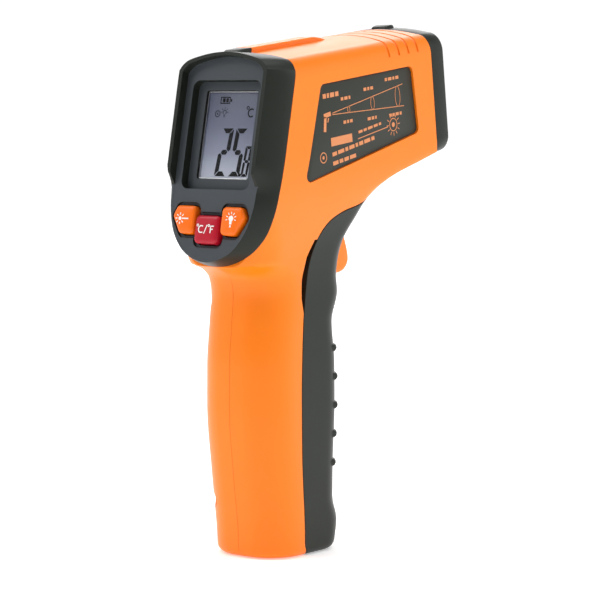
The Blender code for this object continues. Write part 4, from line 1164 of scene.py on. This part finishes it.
for side, hand in ((1, "right"), (-1, "left")):
    film = flank_plate(f"film_{hand}", label_outline(0.2), side, HALF_WIDTH - 1.0, HALF_WIDTH - 0.6, BARREL)
    ride_as(soften(film, 0.1), LABEL)
    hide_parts(f"label_{hand}")
    marks = label_print() if side > 0 else turned_round(label_print())
    low, high = between(side, HALF_WIDTH - 0.62, HALF_WIDTH - 0.56)
    printed(f"print_{hand}", marks, low, high, ORANGE_INK, BARREL @ SIDE)
print("labels placed")

# %% [markdown]
# ## Screws
# A pan head with a cross recess, modelled once and copied to each hole. The recess is two crossed
# blocks that are cut from the head.

# %% Screws
screw_profile = ((1.3, -9.0), (1.3, 6.3), (2.3, 6.3), (2.35, 6.9), (2.0, 7.6), (1.2, 7.9))
screw = turned("screw", screw_profile, WORLD, 32)
cut(screw, block("slot_a", (-1.5, -0.28, 7.0), (1.5, 0.28, 9.0)),
    block("slot_b", (-0.28, -1.5, 7.0), (0.28, 1.5, 9.0)))
screw.data.materials.append(STEEL)
smooth(screw, 35)
for number, (y, z) in enumerate(SCREWS, 1):
    made = copied(screw, f"body_screw_{number}")
    put(made, at(0, y, z, "X") @ Matrix.Rotation(pi, 4, "X") @ TO_METRES.inverted())
    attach(made, "body")
    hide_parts(f"shell_screw_{number}")
bpy.data.objects.remove(screw, do_unlink=True)
print("screws placed")

# %% [markdown]
# ## Cells and springs
# Two slim cells stand side by side, one each way up, as the circuit wants them. Each flat end meets
# a wire spring that is wound as a cone. A spring is drawn as a curve with a round bevel.

# %% Cells and contact springs
CELL_RADIUS, CELL_LENGTH, CELL_FOOT = 5.2, 43.3, 21.0
CELL_X, CELL_Y = 5.6, -11.6
BAND, BARREL_BLUE = "#B98A3E", "#27324A"
COILS, COIL_STEPS, WIRE_RADIUS = 3, 28, 0.25
for side, hand in ((-1, "left"), (1, "right")):
    low, high = (v.z * 1000 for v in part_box(f"cell_{hand}"))
    r, reach = CELL_RADIUS, CELL_LENGTH / 2
    place = at(side * CELL_X, CELL_Y, CELL_FOOT + reach)
    if side < 0:
        place = place @ Matrix.Rotation(pi, 4, "X")
    profile = ((r - 0.7, -reach + 0.3), (r - 0.2, -reach + 0.05), (r, -reach + 0.4), (r, reach - 1.2),
               (r - 0.25, reach - 0.75), (r - 0.8, reach - 0.7), (r - 1.2, reach - 0.9))
    wrap = turned(f"cell_wrap_{hand}", profile, place, 64)
    colours = (BARREL_BLUE, BAND, 0.73) if side > 0 else (BAND, BARREL_BLUE, 0.25)
    ride_as(wrap, cell_jacket(f"cell_wrap_print_{hand}", low, high, *colours))
    profile = ((3.9, -reach), (3.9, -reach + 0.2), (3.9, reach - 0.85), (1.9, reach - 0.8),
               (1.9, reach + 0.2), (1.6, reach + 0.5), (0.4, reach + 0.5))
    ride_as(turned(f"cell_ends_{hand}", profile, place, 48), STEEL)
    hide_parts(f"cell_{hand}")
    low, high = (v.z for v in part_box(f"contact_spring_{hand}"))
    points = []
    for k in range(COILS * COIL_STEPS + 1):
        share = k / (COILS * COIL_STEPS)
        turn = 2 * pi * COILS * share
        radius = 3.3 - 1.5 * share
        rise = share if side > 0 else 1 - share
        height = low * 1000 + WIRE_RADIUS + (high - low - 0.0005) * 1000 * rise
        points.append((side * CELL_X + radius * cos(turn), CELL_Y + radius * sin(turn), height))
    spring = put(wire(f"cone_spring_{hand}", points, WIRE_RADIUS), WORLD)
    ride_as(spring, STEEL, angle=60)
    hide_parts(f"contact_spring_{hand}")
print("cells placed")

# %% [markdown]
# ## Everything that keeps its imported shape
# The parts inside are plain solids that are already right. They only take their finishes.

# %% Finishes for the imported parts
KEPT = (
    (STEEL, "door_pin thermopile_sensor trigger_pin trigger_spring"),
    (BLACK, "battery_holder buzzer switch_backlight switch_laser switch_unit trigger_switch"),
    (BOARD, "main_board sensor_board"), (WHITE, "backlight sensor_ribbon"), (BRASS, "laser_module"),
    (LASER_GLASS, "laser_window"), (RUBBER, "lcd_connector"), (ALUMINIUM, "lens_barrel"),
)
for finish, names in KEPT:
    for name in names.split():
        nodes[name].data.materials.clear()
        nodes[name].data.materials.append(finish)
print("hidden by a finer piece:", sum(o.hide_render for o in nodes.values()), "of", len(nodes))

# %% [markdown]
# ## Floor, light and camera
# The tool stands on a pale floor under soft light: large panels give satin plastic its broad bands.
# The camera stands back with a long lens, so that the tool's edges stay nearly parallel.

# %% Floor
floor = started("floor", bpy.ops.mesh.primitive_plane_add, size=12, location=(0, 0, -0.0002))
PAPER, _ = new_finish("lit_acrylic_table", "#FBFBFB", 0.9, 1.3, Emission_Color=colour("#FFFFFF"),
                      Emission_Strength=0.36)
floor.data.materials.append(PAPER)

# %% Lights
def panel(name, place, aim, width, height, power):
    bpy.ops.object.light_add(type="AREA", location=place)
    light = bpy.context.object
    light.name = name
    light.data.shape = "RECTANGLE"
    light.data.size, light.data.size_y = width, height
    light.data.energy = power
    light.rotation_euler = (Vector(aim) - Vector(place)).to_track_quat("-Z", "Y").to_euler()


panel("right_panel", (1.05, 0.35, 0.75), (0, 0, 0.09), 0.6, 0.9, 5.0)
panel("left_panel", (-0.62, -0.78, 1.0), (0, 0, 0.09), 0.6, 0.5, 6.0)
panel("back_panel", (-0.8, 1.15, 0.85), (0, 0, 0.12), 1.1, 0.7, 6.0)
bpy.ops.object.light_add(type="SUN", rotation=(0.0, 0.0, 0.0))
sky = bpy.context.object
sky.name = "overhead_light"
sky.data.energy = 1.5
sky.data.angle = radians(50)

# %% The room: white at the horizon and behind the tool, dim overhead and behind the camera
world = bpy.data.worlds.new("pale_studio")
bpy.context.scene.world = world
world.use_nodes = True
background = world.node_tree.nodes["Background"]
where = add_node(world, "ShaderNodeTexCoord")
parts = add_node(world, "ShaderNodeSeparateXYZ", None, {"Vector": (where, "Generated")})
facing = add_node(world, "ShaderNodeVectorMath", {1: (0.615, -0.788, 0.0)}, {0: (where, "Generated")},
                  operation="DOT_PRODUCT")
ends = []
for source, low, high, dim in (((parts, "Z"), 0.30, 0.65, 0.3), ((facing, "Value"), -0.1, 0.55, 0.25)):
    values = {"From Min": low, "From Max": high, "To Min": 1.0, "To Max": dim}
    ends.append(add_node(world, "ShaderNodeMapRange", values, {"Value": source},
                         interpolation_type="SMOOTHSTEP"))
level = add_node(world, "ShaderNodeMath", None, {k: (end, "Result") for k, end in enumerate(ends)},
                 operation="MULTIPLY")
world.node_tree.links.new(level.outputs["Value"], background.inputs["Color"])
background.inputs["Strength"].default_value = 1.04
bpy.context.scene.view_settings.view_transform = "Standard"

# %% Camera
bpy.ops.object.camera_add(location=(0.4427, -0.5670, 0.1363))
camera = bpy.context.object
camera.name = "camera"
camera.data.lens = 141.8
camera.data.sensor_width = 36.0
aim = Vector((0, -0.0025, 0.0748))
camera.rotation_euler = (aim - camera.location).to_track_quat("-Z", "Y").to_euler()
bpy.context.scene.camera = camera
